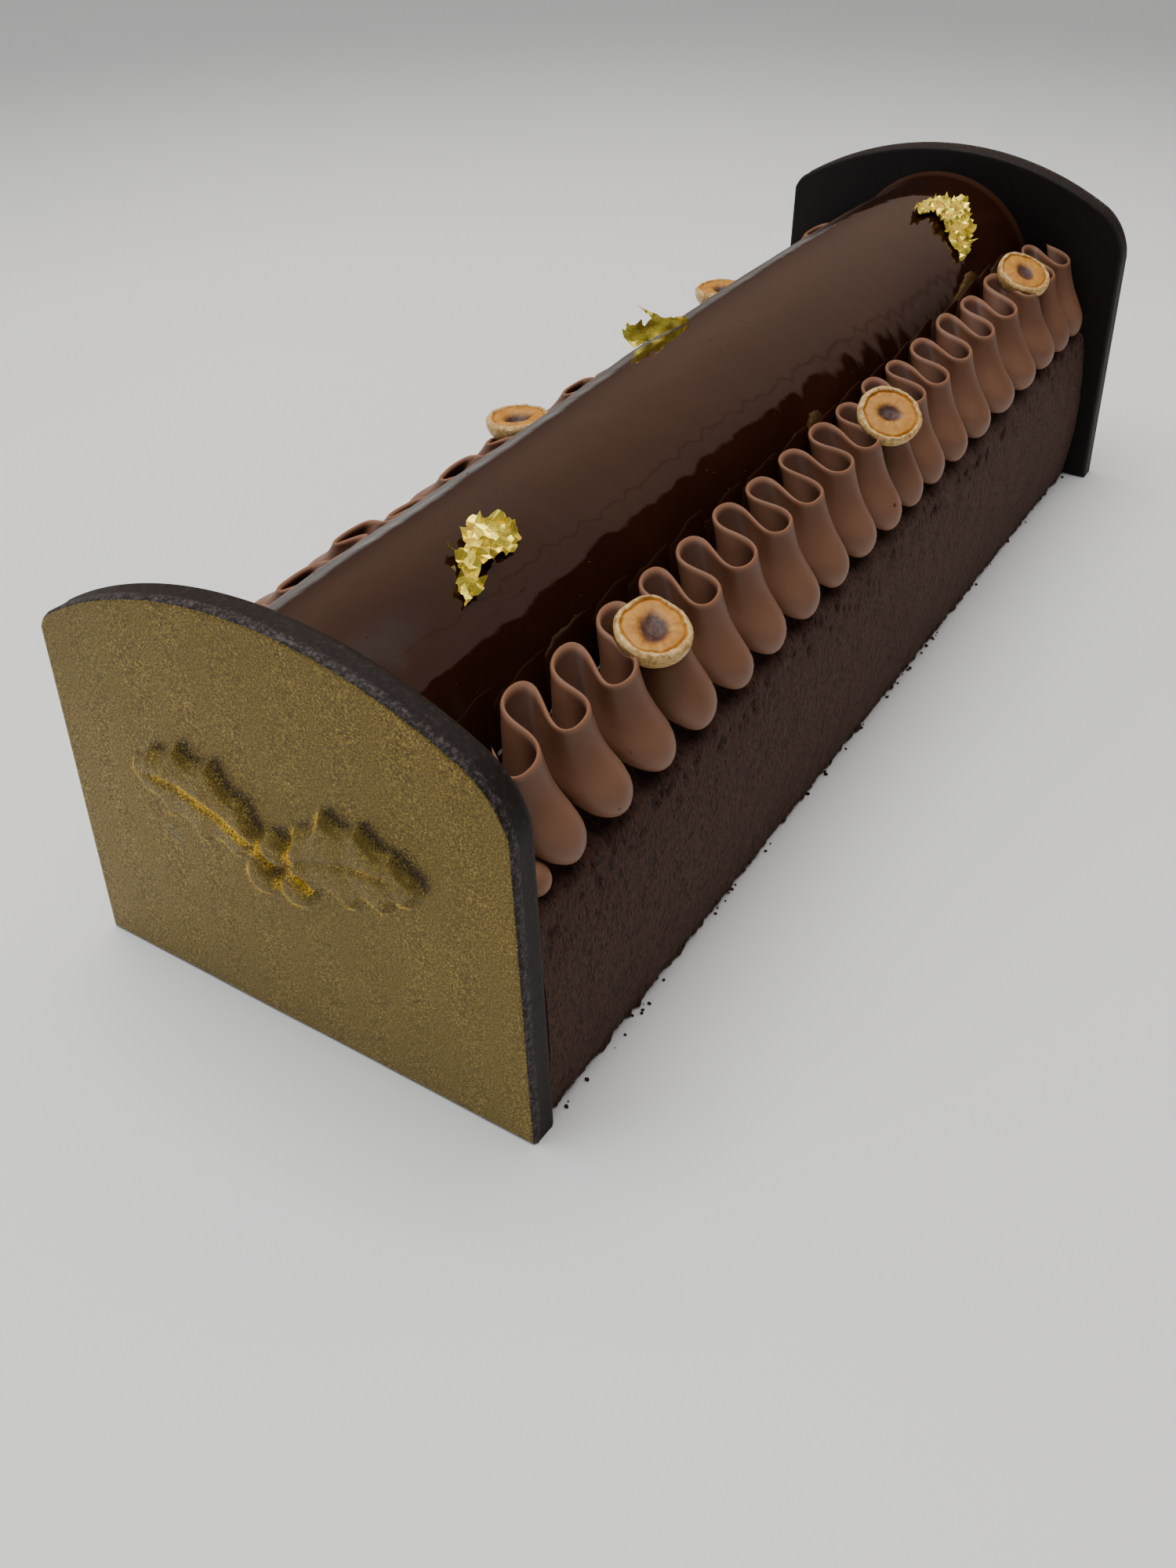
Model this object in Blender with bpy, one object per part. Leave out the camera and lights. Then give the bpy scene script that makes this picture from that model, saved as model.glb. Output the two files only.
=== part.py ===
"""Yule log cake.

A velvet-sprayed mousse block carries a glazed log. A ruffle of ganache is piped along each side of the
log, with hazelnut halves pressed into it, gold leaf lies on the glaze, and a chocolate plaque closes
each end. X runs across the cake, Y along it from the front plaque to the far one, Z is up, and the
cake rests on z = 0. Lengths are in metres.
"""

import math

import bmesh
import bpy
from mathutils import Matrix, Vector

MM = 0.001
GAP = 0.3 * MM                       # clearance between pieces that touch

# Chocolate plaques
CAKE_LENGTH = 303.8 * MM             # outer face to outer face, at the middle
PLAQUE_THICKNESS = 6.3 * MM
PLAQUE_FOOT = 104.0 * MM             # width at the bottom
PLAQUE_SHOULDER = 100.0 * MM         # width where the arched top begins
PLAQUE_SHOULDER_Z = 73.4 * MM
PLAQUE_HEIGHT = 89.0 * MM
PLAQUE_EDGE = 0.8 * MM               # softened edge
SHARP_SHOULDER = 3.0 * MM            # corner radius on the cake's left side
ROUND_SHOULDER = 8.0 * MM            # corner radius on the cake's right side
FRONT_TURN = math.radians(-1.8)      # each plaque stands slightly askew
FAR_TURN = math.radians(-0.12)
SIDE_STEP = 2.6 * MM                 # how far each plaque stands off the centre line
FAR_LEAN = 0.0117                    # slope by which the far plaque leans in over the cake

# Embossed holly sprig
LEAF_LENGTH = 30.0 * MM
LEAF_HALF_WIDTH = 7.0 * MM
LEAF_RISE = 1.3 * MM
BERRY_RADIUS = 3.6 * MM
BERRY_FLATNESS = 0.62
BERRY_SUNK = 0.4 * MM                # how far a berry's middle lies inside the plaque
SPRIG_Z = 42.0 * MM

# Velvet block
BODY_HALF_WIDTH = 48.0 * MM
BODY_BULGE = 0.9 * MM                # how far the side swells at half height
SHOULDER_X = 44.0 * MM
SHOULDER_Z = 46.9 * MM
SHOULDER_ROUND = 3.4 * MM            # how far below the shoulder the side begins to turn in
SHOULDER_FALL = 2.4 * MM             # the shoulder, and the piping on it, sinks towards the far end
SEAT_X = 28.6 * MM                   # half width of the flat seat under the log
SEAT_Z = 53.0 * MM

# Glazed log
LOG_AXIS_Z = 55.0 * MM
LOG_RADIUS = 27.6 * MM
LOG_SWELL = 1.6 * MM                 # extra radius around the middle
LOG_SWELL_Y = 33.3 * MM
LOG_SWELL_REACH = 70.0 * MM
LOG_SIDES = 26
FRONT_FILLET = 1.2 * MM              # glaze gathered against the front plaque
FAR_FILLET = 3.4 * MM                # and against the far one

# Piped ruffles: one fold has an outer cup, away from the log, and an inner loop beside it
CUP_HOLLOW = 0.6 * MM                # how far a fold's profile bows
LOOP_BOW = 1.2 * MM
RIM_OVERHANG = 0.165                 # how far folds bulge over their own waist, in spacings
TIP_OVERHANG = 0.045
WIDENING = 0.012                     # how much wider a cup is than a loop, in spacings
FOLD_HEIGHTS = (0.0, 0.45, 0.8, 1.0)           # levels from rim to lower end
FOLD_HALF_WIDTHS = (0.03, 0.085, 0.18, 0.12)    # half thickness there, in spacings
STEPS_PER_FOLD = 10

# Hazelnut halves: x, y and z of the cut face's middle
NUT_RADIUS = 7.3 * MM
NUT_DEPTH = 5.6 * MM
NUT_TILT_RIGHT = math.radians(27)    # the cut faces look outwards
NUT_TILT_LEFT = math.radians(4)
NUT_SIDES = 14
NUT_CLEARANCE = 0.5 * MM
NUTS_RIGHT = ((37.5, -93.1, 68.9), (38.5, 11.5, 69.0), (35.2, 113.1, 69.2))
NUTS_LEFT = ((-35.2, -26.7, 66.4), (-34.9, 73.1, 64.9))

# Gold leaf: place along the log, angle round it from +X, half length, half width
LEAF_SPOTS = ((-106.2, 70.0, 10.5, 6.4), (-4.2, 108.0, 8.0, 6.0), (116.3, 62.0, 11.0, 7.0))
LEAF_THICKNESS = 0.6 * MM
LEAF_LIFT = 0.5 * MM

COLOURS = {
    "gold": (0.30, 0.22, 0.10),
    "velvet": (0.045, 0.02, 0.014),
    "glaze": (0.03, 0.013, 0.009),
    "ganache": (0.17, 0.09, 0.062),
    "hazelnut": (0.62, 0.40, 0.19),
    "leaf": (0.95, 0.72, 0.22),
}

HALF_TURN = math.pi
FULL_TURN = 2 * math.pi


def mix(a, b, share):
    return a + (b - a) * share


# The berries stand out further than a plaque's skewed corners, and alike at both ends, so with the
# faces at equal distances the bounding box is centred to within 0.3 mm.
FRONT_FACE_Y = -CAKE_LENGTH / 2
FAR_FACE_Y = CAKE_LENGTH / 2


def front_end(x):
    """Y of a piece's front end at x, just clear of the front plaque's inner face."""
    inner = FRONT_FACE_Y + PLAQUE_THICKNESS / math.cos(FRONT_TURN)
    return inner + GAP + (x + SIDE_STEP) * math.tan(FRONT_TURN)


def far_end(x, z):
    """Y of a piece's far end at x and height z, just clear of the far plaque."""
    inner = FAR_FACE_Y - PLAQUE_THICKNESS / math.cos(FAR_TURN)
    return inner - GAP - FAR_LEAN * z + (x - SIDE_STEP) * math.tan(FAR_TURN)


def coating(name, roughness, metallic=0.0):
    """A Principled material in one of the cake's colours."""
    material = bpy.data.materials.get(name) or bpy.data.materials.new(name)
    material.use_nodes = True
    shader = material.node_tree.nodes["Principled BSDF"]
    shader.inputs["Base Color"].default_value = (*COLOURS[name], 1.0)
    shader.inputs["Roughness"].default_value = roughness
    shader.inputs["Metallic"].default_value = metallic
    return material


def finish_piece(name, mesh, material, sharp_angle=40):
    """Put a closed bmesh on an object of its own, shaded smooth up to the sharp angle."""
    bmesh.ops.recalc_face_normals(mesh, faces=mesh.faces)
    data = bpy.data.meshes.new(name)
    mesh.to_mesh(data)
    mesh.free()
    data.shade_smooth()
    data.set_sharp_from_angle(angle=math.radians(sharp_angle))
    data.materials.append(material)
    piece = bpy.data.objects.new(name, data)
    bpy.context.collection.objects.link(piece)
    return piece


def loft(rings):
    """A closed bmesh through rings of the same number of points, capped at both ends."""
    mesh = bmesh.new()
    rows = [[mesh.verts.new(point) for point in ring] for ring in rings]
    count = len(rows[0])
    for row, following in zip(rows, rows[1:]):
        for i in range(count):
            j = (i + 1) % count
            mesh.faces.new((row[i], row[j], following[j], following[i]))
    mesh.faces.new(rows[0])
    mesh.faces.new(rows[-1][::-1])
    return mesh


def as_tool(piece):
    """Mark an object that only shapes another one."""
    piece.hide_render = True
    piece.display_type = "WIRE"


def combine(piece, tools, operation):
    """Add one Boolean to the piece for each tool."""
    for tool in tools:
        as_tool(tool)
        modifier = piece.modifiers.new(tool.name, "BOOLEAN")
        modifier.object = tool
        modifier.operation = operation
        modifier.solver = "EXACT"


# ---------------------------------------------------------------- velvet block

def block_outline(swell, share_along):
    """Right half of the block's section, from the foot up to the seat."""
    shoulder_z = SHOULDER_Z - SHOULDER_FALL * share_along
    side_z = shoulder_z - SHOULDER_ROUND
    foot_round = 0.9 * MM
    points = [(BODY_HALF_WIDTH - foot_round, 0.0)]
    side_steps = 6
    for i in range(side_steps + 1):
        share = i / side_steps
        z = mix(foot_round, side_z, share)
        lean = 1.2 * MM * share ** 3
        points.append((BODY_HALF_WIDTH + swell * math.sin(HALF_TURN * share) - lean, z))
    side_x = points[-1][0]
    for angle in (30, 60, 90):
        turn = math.radians(angle)
        x = SHOULDER_X + (side_x - SHOULDER_X) * math.cos(turn)
        z = side_z + SHOULDER_ROUND * math.sin(turn)
        points.append((x, z))
    points.append((SEAT_X, SEAT_Z))
    return points


def velvet_block():
    stations = 8
    rings = []
    for i in range(stations + 1):
        share = i / stations
        swell = BODY_BULGE * (1.0 + 0.35 * math.sin(2.3 * FULL_TURN * share))
        half = block_outline(swell, share)
        ring = half + [(-x, z) for x, z in reversed(half)]
        rings.append([(x, mix(front_end(x), far_end(x, z), share), z) for x, z in ring])
    return finish_piece("velvet_block", loft(rings), coating("velvet", 0.9))


# ---------------------------------------------------------------- glazed log

def log_radius(y):
    """The log swells around its middle and thins towards both ends."""
    swell = LOG_SWELL * math.exp(-((y - LOG_SWELL_Y) / LOG_SWELL_REACH) ** 2)
    front_dip = 1.2 * MM * math.exp(-((y - front_end(0)) / (16 * MM)) ** 2)
    far_dip = 1.4 * MM * math.exp(-((y - far_end(0, LOG_AXIS_Z)) / (24 * MM)) ** 2)
    return LOG_RADIUS + swell - front_dip - far_dip


def log_section(radius):
    """A round with a flat underside that rests on the seat, as x and z."""
    below = math.asin((LOG_AXIS_Z - SEAT_Z - GAP) / radius)
    points = []
    for i in range(LOG_SIDES + 1):
        angle = mix(-below, HALF_TURN + below, i / LOG_SIDES)
        points.append((radius * math.cos(angle), LOG_AXIS_Z + radius * math.sin(angle)))
    return points


def glazed_log():
    depths = [0.0, 0.8 * MM, 2.0 * MM, 4.5 * MM, 9.0 * MM, 18.0 * MM]
    middle = [i / 7 for i in range(8)]
    rings = []
    for depth in depths:
        fillet = FRONT_FILLET * math.exp(-depth / (1.2 * MM))
        rings.append((depth, None, log_radius(front_end(0) + depth) + fillet))
    start = front_end(0) + 36 * MM
    stop = far_end(0, LOG_AXIS_Z) - 30 * MM
    for share in middle:
        y = mix(start, stop, share)
        rings.append((None, y, log_radius(y)))
    for depth in reversed(depths):
        fillet = FAR_FILLET * math.exp(-depth / (1.8 * MM))
        rings.append((-depth, None, log_radius(far_end(0, LOG_AXIS_Z) - depth) + fillet))
    half = len(rings) // 2
    placed = []
    for index, (depth, y, radius) in enumerate(rings):
        ring = []
        for x, z in log_section(radius):
            if y is not None:
                place = y
            elif index < half:
                place = front_end(x) + depth
            else:
                place = far_end(x, z) + depth
            ring.append((x, place, z))
        placed.append(ring)
    return finish_piece("glazed_log", loft(placed), coating("glaze", 0.06))


# ---------------------------------------------------------------- piped ruffles

class Piping:
    """One ruffle. Fold numbers grow along +Y; whole ones are outer cups, half ones are inner loops."""

    def __init__(self, name, side, span, start, pitch, waves, lean, slant, cup, loop, fall, lift):
        self.name = name
        self.side = side            # 1 on the right of the log, -1 on the left
        self.first = span[0]        # fold numbers where the ribbon begins and ends
        self.last = span[1]
        self.start = start          # Y of the first cup's lower end, before the waves
        self.pitch = pitch          # mean distance between cups
        self.waves = waves          # uneven spacing: amplitude, length in folds and phase of each wave
        self.lean = lean            # how far cups lean along Y, at the first fold and from the eighth on
        self.slant = slant          # how far loops lean along Y: mean and swing
        self.cup_rim = cup[0]       # x and z of a cup's thin upper edge
        self.cup_tip = cup[1]       # and of its fat lower end
        self.loop_rim = loop[0]
        self.loop_tip = loop[1]
        self.fall = fall            # how much lower each further fold lies, at its rim and its lower end
        self.lift = lift            # unevenness of the rim's height

    def lower_y(self, fold):
        """Y of the lower end at a fold number."""
        unevenness = sum(amplitude * math.sin(FULL_TURN * fold / length + phase)
                         for amplitude, length, phase in self.waves)
        return self.start + self.pitch * fold + unevenness

    def local_pitch(self, fold):
        return self.lower_y(fold + 0.5) - self.lower_y(fold - 0.5)

    def middle(self, fold, height):
        """A point of the ribbon's middle surface, from 0 at the rim to 1 at the lower end."""
        angle = FULL_TURN * fold
        cup = 0.5 + 0.5 * math.cos(angle)
        bow = math.sin(HALF_TURN * height)
        cup_x = mix(self.cup_rim[0], self.cup_tip[0], height) - CUP_HOLLOW * bow
        loop_x = mix(self.loop_rim[0], self.loop_tip[0], height) + LOOP_BOW * bow
        cup_z = mix(self.cup_rim[1], self.cup_tip[1], height)
        loop_z = mix(self.loop_rim[1], self.loop_tip[1], height)
        rise = self.lift * math.sin(2.4 * fold + 0.8) * (1 - height)
        rise -= fold * mix(self.fall[0], self.fall[1], height)
        pitch = self.local_pitch(fold)
        slack = 1 - height          # the free rim swings wider than the lower end
        overhang = mix(TIP_OVERHANG, RIM_OVERHANG, slack ** 2) * math.sin(2 * angle)
        widening = WIDENING * slack ** 2 * math.sin(angle)
        cup_lean = mix(self.lean[0], self.lean[1], min(max(fold / 8, 0.0), 1.0)) * slack
        loop_lean = self.slant[0] + self.slant[1] * math.cos(HALF_TURN * fold / 8.3)
        y = self.lower_y(fold) + pitch * (overhang + widening)
        y += cup_lean + loop_lean * (1 - cup) * slack ** 3
        return Vector((self.side * mix(loop_x, cup_x, cup), y, mix(loop_z, cup_z, cup) + rise))

    def across(self, fold, height):
        """Unit vector through the ribbon's thickness, square to its run and to its steepest fall."""
        step = 0.02
        along = self.middle(fold + step, height) - self.middle(fold - step, height)
        fall = Vector((self.side * (self.cup_tip[0] - self.cup_rim[0]), 0.0,
                       self.cup_tip[1] - self.cup_rim[1]))
        return along.cross(fall).normalized() * self.side

    def section(self, fold):
        """The ring of points round the ribbon at a fold number."""
        near = []
        away = []
        for height, width in zip(FOLD_HEIGHTS, FOLD_HALF_WIDTHS):
            centre = self.middle(fold, height)
            offset = self.across(fold, height) * width * self.local_pitch(fold)
            near.append(centre + offset)
            away.append(centre - offset)
        return near + away[::-1]


def in_mm(*values):
    return tuple(value * MM for value in values)


RIGHT_PIPING = Piping(
    name="piping_right", side=1, span=(-0.55, 18.3), start=-131.7 * MM, pitch=14.85 * MM,
    waves=((-2.25 * MM, 36.2, 0.0), (2.2 * MM, 9.45, -2.67), (1.35 * MM, 7.25, -0.49)),
    lean=in_mm(-3.5, 0.85), slant=in_mm(4.7, 2.4), cup=(in_mm(39.9, 67.2), in_mm(45.3, 48.3)),
    loop=(in_mm(26.9, 69.9), in_mm(34.0, 55.1)), fall=in_mm(0.10, 0.14), lift=0.4 * MM)
LEFT_PIPING = Piping(
    name="piping_left", side=-1, span=(-0.2, 16.42), start=-140.7 * MM, pitch=17.3 * MM,
    waves=((3.2 * MM, 18.0, 0.0), (0.7 * MM, 5.3, 0.6)),
    lean=in_mm(1.0, 3.0), slant=in_mm(-0.5, 2.0), cup=(in_mm(38.2, 62.6), in_mm(45.3, 49.3)),
    loop=(in_mm(28.5, 66.8), in_mm(34.2, 54.6)), fall=in_mm(0.13, 0.14), lift=1.3 * MM)


def room_between_plaques(name):
    """A block of air that ends just clear of both plaques, for trimming what lies between them."""
    side = 60 * MM
    low = 40 * MM
    high = 80 * MM
    corners = ((-side, low), (side, low), (side, high), (-side, high))
    front = [(x, front_end(x), z) for x, z in corners]
    far = [(x, far_end(x, z), z) for x, z in corners]
    return finish_piece(name, loft([front, far]), coating("ganache", 0.5))


def ruffle(piping, nuts):
    count = round((piping.last - piping.first) * STEPS_PER_FOLD)
    rings = [piping.section(mix(piping.first, piping.last, i / count)) for i in range(count + 1)]
    piece = finish_piece(piping.name, loft(rings), coating("ganache", 0.5), sharp_angle=60)
    combine(piece, [room_between_plaques(piping.name + "_room")], "INTERSECT")
    combine(piece, [nut_seat(place) for place in nuts], "DIFFERENCE")
    return piece


# ---------------------------------------------------------------- hazelnut halves

def nut_frame(place):
    """Placement of a half nut: its cut face in the local XY plane, tilted outwards."""
    tilt = NUT_TILT_RIGHT if place[0] > 0 else -NUT_TILT_LEFT
    return Matrix.Translation(in_mm(*place)) @ Matrix.Rotation(tilt, 4, "Y")


def nut_mesh(growth, rise):
    """A half nut, domed below its cut face; growth swells it and rise extends it upwards."""
    levels = ((0.12, 0.55), (0.35, 0.80), (0.62, 0.93), (0.85, 1.0), (1.0, 0.97))
    rings = []
    for height, width in levels:
        ring = []
        for i in range(NUT_SIDES):
            angle = FULL_TURN * i / NUT_SIDES
            radius = width * NUT_RADIUS * (1 + 0.025 * math.cos(2 * angle + 0.7)) + growth
            z = -NUT_DEPTH * (1 - height) - growth
            ring.append((radius * math.cos(angle), radius * math.sin(angle), z))
        rings.append(ring)
    if rise > 0:
        rings.append([(x, y, rise) for x, y, z in rings[-1]])
    return loft(rings)


def hazelnut(index, place):
    piece = finish_piece("hazelnut_%d" % index, nut_mesh(0.0, 0.0), coating("hazelnut", 0.6))
    piece.matrix_world = nut_frame(place)
    return piece


def nut_seat(place):
    """The hollow that a nut presses into the piping."""
    side = "right" if place[0] > 0 else "left"
    name = "seat_%s_%d" % (side, round(place[1]))
    piece = finish_piece(name, nut_mesh(NUT_CLEARANCE, 9 * MM), coating("hazelnut", 0.6))
    piece.matrix_world = nut_frame(place)
    return piece


# ---------------------------------------------------------------- gold leaf

def gold_leaf(index, spot):
    """A torn scrap of leaf that follows the log's round."""
    along, angle, half_length, half_width = spot
    points = 12
    mesh = bmesh.new()
    layers = []
    for layer in range(2):
        rows = []
        for ring, share in enumerate((0.0, 0.55, 1.0)):
            row = []
            for i in range(points if ring else 1):
                turn = FULL_TURN * i / points
                tear = 1 + 0.22 * math.sin(3 * turn + index) + 0.14 * math.sin(5 * turn + 2 * index)
                v = share * tear * half_length * MM * math.cos(turn)
                u = share * tear * half_width * MM * math.sin(turn)
                y = along * MM + v
                crumple = 0.35 * MM * (1 + math.sin(2.1 * turn + 4.0 * share + index))
                radius = log_radius(y) + LEAF_LIFT + crumple * share + layer * LEAF_THICKNESS
                round_log = math.radians(angle) + u / LOG_RADIUS
                point = (radius * math.cos(round_log), y, LOG_AXIS_Z + radius * math.sin(round_log))
                row.append(mesh.verts.new(point))
            rows.append(row)
        layers.append(rows)
    for rows in layers:
        for i in range(points):
            j = (i + 1) % points
            mesh.faces.new((rows[0][0], rows[1][i], rows[1][j]))
            mesh.faces.new((rows[1][i], rows[2][i], rows[2][j], rows[1][j]))
    under, over = layers[0][2], layers[1][2]
    for i in range(points):
        j = (i + 1) % points
        mesh.faces.new((under[i], under[j], over[j], over[i]))
    return finish_piece("gold_leaf_%d" % index, mesh, coating("leaf", 0.25, 1.0))


# ---------------------------------------------------------------- plaques

def rounded_corner(before, corner, after, radius, steps=4):
    """Points of an arc of about this radius in place of a corner."""
    to_before = (Vector(before) - Vector(corner)).normalized()
    to_after = (Vector(after) - Vector(corner)).normalized()
    half_angle = to_before.angle(to_after) / 2
    reach = radius / math.tan(half_angle)
    start = Vector(corner) + to_before * reach
    stop = Vector(corner) + to_after * reach
    centre = Vector(corner) + (to_before + to_after).normalized() * radius / math.sin(half_angle)
    points = []
    for i in range(steps + 1):
        spoke = start.lerp(stop, i / steps) - centre
        points.append(tuple(centre + spoke.normalized() * radius))
    return points


def plaque_outline(left_radius, right_radius):
    """The plaque seen from its outer side, as x and z, anticlockwise from the lower left corner."""
    foot = PLAQUE_FOOT / 2
    shoulder = PLAQUE_SHOULDER / 2
    rise = PLAQUE_HEIGHT - PLAQUE_SHOULDER_Z
    radius = (shoulder ** 2 + rise ** 2) / (2 * rise)
    centre_z = PLAQUE_HEIGHT - radius
    sweep = math.asin(shoulder / radius)
    arc_steps = 16
    arc = []
    for i in range(arc_steps + 1):
        angle = mix(sweep, -sweep, i / arc_steps)
        arc.append((radius * math.sin(angle), centre_z + radius * math.cos(angle)))
    right_corner, left_corner = arc[0], arc[-1]
    right = rounded_corner((foot, 0.0), right_corner, arc[2], right_radius)
    left = rounded_corner(arc[-3], left_corner, (-foot, 0.0), left_radius)
    kept = [p for p in arc if left[0][0] + MM < p[0] < right[-1][0] - MM]
    return [(-foot, 0.0), (foot, 0.0)] + right + kept + left


def plaque_mesh(left_radius, right_radius):
    """A slab between y = 0, its outer face, and y = its thickness."""
    outline = plaque_outline(left_radius, right_radius)
    mesh = bmesh.new()
    face = mesh.faces.new([mesh.verts.new((x, 0.0, z)) for x, z in outline])
    grown = bmesh.ops.extrude_face_region(mesh, geom=[face])
    moved = [item for item in grown["geom"] if isinstance(item, bmesh.types.BMVert)]
    bmesh.ops.translate(mesh, verts=moved, vec=(0.0, PLAQUE_THICKNESS, 0.0))
    return mesh


def holly_leaf(name, mirrored):
    """A leaf with three pairs of spines, raised to a midrib, with its root sunk in the plaque."""
    stations = 9
    sunk = 1.2 * MM
    rows = []
    for i in range(stations):
        share = i / (stations - 1)
        spine = 1.0 if i % 2 else 0.62
        half = LEAF_HALF_WIDTH * math.sin(HALF_TURN * (0.06 + 0.90 * share)) ** 0.8 * spine
        out = 3.0 * MM + LEAF_LENGTH * share
        curl = 2.2 * MM * math.sin(HALF_TURN * share)
        ridge = -LEAF_RISE * (0.45 + 0.55 * math.sin(HALF_TURN * mix(0.1, 0.9, share)))
        edge = -0.35 * LEAF_RISE
        rows.append([(out, sunk, curl - half), (out, edge, curl - half), (out, ridge, curl),
                     (out, edge, curl + half), (out, sunk, curl + half)])
    if mirrored:
        rows = [[(-x, y, z) for x, y, z in row] for row in rows]
    piece = finish_piece(name, loft(rows), coating("gold", 0.45, 0.6))
    tilt = math.radians(-14 if mirrored else 14)
    piece.matrix_world = Matrix.Translation((0.0, 0.0, SPRIG_Z)) @ Matrix.Rotation(-tilt, 4, "Y")
    return piece


def holly_berry(name, x, z):
    mesh = bmesh.new()
    bmesh.ops.create_uvsphere(mesh, u_segments=10, v_segments=7, radius=BERRY_RADIUS)
    bmesh.ops.scale(mesh, vec=(1.0, BERRY_FLATNESS, 1.0), verts=mesh.verts)
    piece = finish_piece(name, mesh, coating("gold", 0.45, 0.6))
    piece.matrix_world = Matrix.Translation((x, BERRY_SUNK, SPRIG_Z + z))
    return piece


def sprig(prefix):
    """Two leaves and three berries, in the plaque's own frame."""
    berries = ((-3.4, -5.4), (3.9, -4.6), (0.2, 1.9))
    pieces = [holly_leaf(prefix + "_leaf_a", False), holly_leaf(prefix + "_leaf_b", True)]
    for i, (x, z) in enumerate(berries):
        pieces.append(holly_berry("%s_berry_%d" % (prefix, i), x * MM, z * MM))
    return pieces


def plaque(name, place, turn, corner_radii, lean):
    """A plaque standing at a place, turned about Z and leaning towards its inner side."""
    piece = finish_piece(name, plaque_mesh(*corner_radii), coating("gold", 0.45, 0.6), 30)
    edge = piece.modifiers.new("softened edge", "BEVEL")
    edge.width = PLAQUE_EDGE
    edge.segments = 1
    edge.limit_method = "ANGLE"
    edge.angle_limit = math.radians(50)
    relief = sprig(name)
    combine(piece, relief, "UNION")
    foot_lift = Matrix.Translation((0.0, 0.0, PLAQUE_THICKNESS * math.sin(lean)))
    stand = (Matrix.Translation(place) @ foot_lift @ Matrix.Rotation(turn, 4, "Z")
             @ Matrix.Rotation(-lean, 4, "X"))
    piece.matrix_world = stand
    for tool in relief:
        tool.matrix_world = stand @ tool.matrix_world
    return piece


# ---------------------------------------------------------------- the cake

def build_cake():
    for leftover in list(bpy.data.objects):
        bpy.data.objects.remove(leftover, do_unlink=True)
    velvet_block()
    glazed_log()
    ruffle(RIGHT_PIPING, NUTS_RIGHT)
    ruffle(LEFT_PIPING, NUTS_LEFT)
    for index, place in enumerate(NUTS_RIGHT + NUTS_LEFT):
        hazelnut(index + 1, place)
    for index, spot in enumerate(LEAF_SPOTS):
        gold_leaf(index + 1, spot)
    plaque("plaque_front", (-SIDE_STEP, FRONT_FACE_Y, 0.0), FRONT_TURN,
           (SHARP_SHOULDER, ROUND_SHOULDER), 0.0)
    plaque("plaque_far", (SIDE_STEP, FAR_FACE_Y, 0.0), HALF_TURN + FAR_TURN,
           (ROUND_SHOULDER, SHARP_SHOULDER), FAR_LEAN)


build_cake()
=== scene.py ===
# %% [markdown]
# # A chocolate yule log cake
#
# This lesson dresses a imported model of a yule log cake. The real cake is a block of mousse sprayed
# with cocoa velvet. A second, round mousse lies on it under a mirror glaze, ganache is piped along
# both of its sides, and a moulded chocolate plaque closes each end. The solids already give every
# piece its size and place. What is missing is what makes food look real: the powder on the velvet,
# the ripples in the glaze, the thin lip of each piped fold, the flaky skin of a nut.

# %% Load the frame
import math
from functools import partial

import bmesh
import bpy
import numpy as np
from mathutils import Matrix, Vector, geometry, noise


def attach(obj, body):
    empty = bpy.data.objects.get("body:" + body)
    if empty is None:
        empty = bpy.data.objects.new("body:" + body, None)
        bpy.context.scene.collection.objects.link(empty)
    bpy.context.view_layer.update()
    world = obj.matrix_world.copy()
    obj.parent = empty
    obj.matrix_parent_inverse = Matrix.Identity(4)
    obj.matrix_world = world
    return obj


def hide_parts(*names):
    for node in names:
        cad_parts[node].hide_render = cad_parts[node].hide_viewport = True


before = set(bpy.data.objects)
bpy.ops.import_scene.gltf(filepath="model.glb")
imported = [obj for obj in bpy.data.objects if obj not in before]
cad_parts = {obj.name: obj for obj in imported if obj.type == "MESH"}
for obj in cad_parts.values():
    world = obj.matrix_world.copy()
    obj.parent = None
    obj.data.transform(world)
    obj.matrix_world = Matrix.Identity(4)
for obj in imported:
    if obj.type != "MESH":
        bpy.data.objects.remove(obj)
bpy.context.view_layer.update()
MM = 0.001
TURN = 2 * math.pi
print("nodes:", sorted(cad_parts))

# %% [markdown]
# ## The walls that everything stands between
#
# The plaques stand slightly askew, so whatever runs between them has slanted ends. Two small
# functions say where each inner face is. The pieces are made a hair short of it, as the real ones
# are pushed against it but never fused with it.

# %% Where the plaques stand
CAKE_LENGTH = 303.8 * MM
PLAQUE_THICKNESS = 6.3 * MM
FRONT_TURN = math.radians(-1.8)
FAR_TURN = math.radians(-0.12)
SIDE_STEP = 2.6 * MM         # the front plaque stands this far to the left, the far one to the right
FAR_LEAN = 0.0117
CLEARANCE = 0.25 * MM


def front_wall(x):
    """Y of the front plaque's inner face at x."""
    inner = PLAQUE_THICKNESS / math.cos(FRONT_TURN) - CAKE_LENGTH / 2
    return inner + (x + SIDE_STEP) * math.tan(FRONT_TURN)


def far_wall(x, z):
    """Y of the far plaque's inner face at x and height z."""
    inner = CAKE_LENGTH / 2 - PLAQUE_THICKNESS / math.cos(FAR_TURN)
    return inner - FAR_LEAN * z + (x - SIDE_STEP) * math.tan(FAR_TURN)


print("room between the plaques: %.1f mm" % ((far_wall(0, 0.05) - front_wall(0)) / MM))

# %% [markdown]
# ## Small tools for meshes
#
# Most pieces here are lofts: rings of points, one after another, joined by quads. A ring can be any
# closed line, so one function serves the block, the log and the nuts. Fractal noise is used for
# everything that is uneven by nature. It has no seed to forget: the same place always gives the same
# number, so the cake comes out the same each time.


# %% Lofts and noise
def mix(a, b, share):
    return a + (b - a) * share


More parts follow.
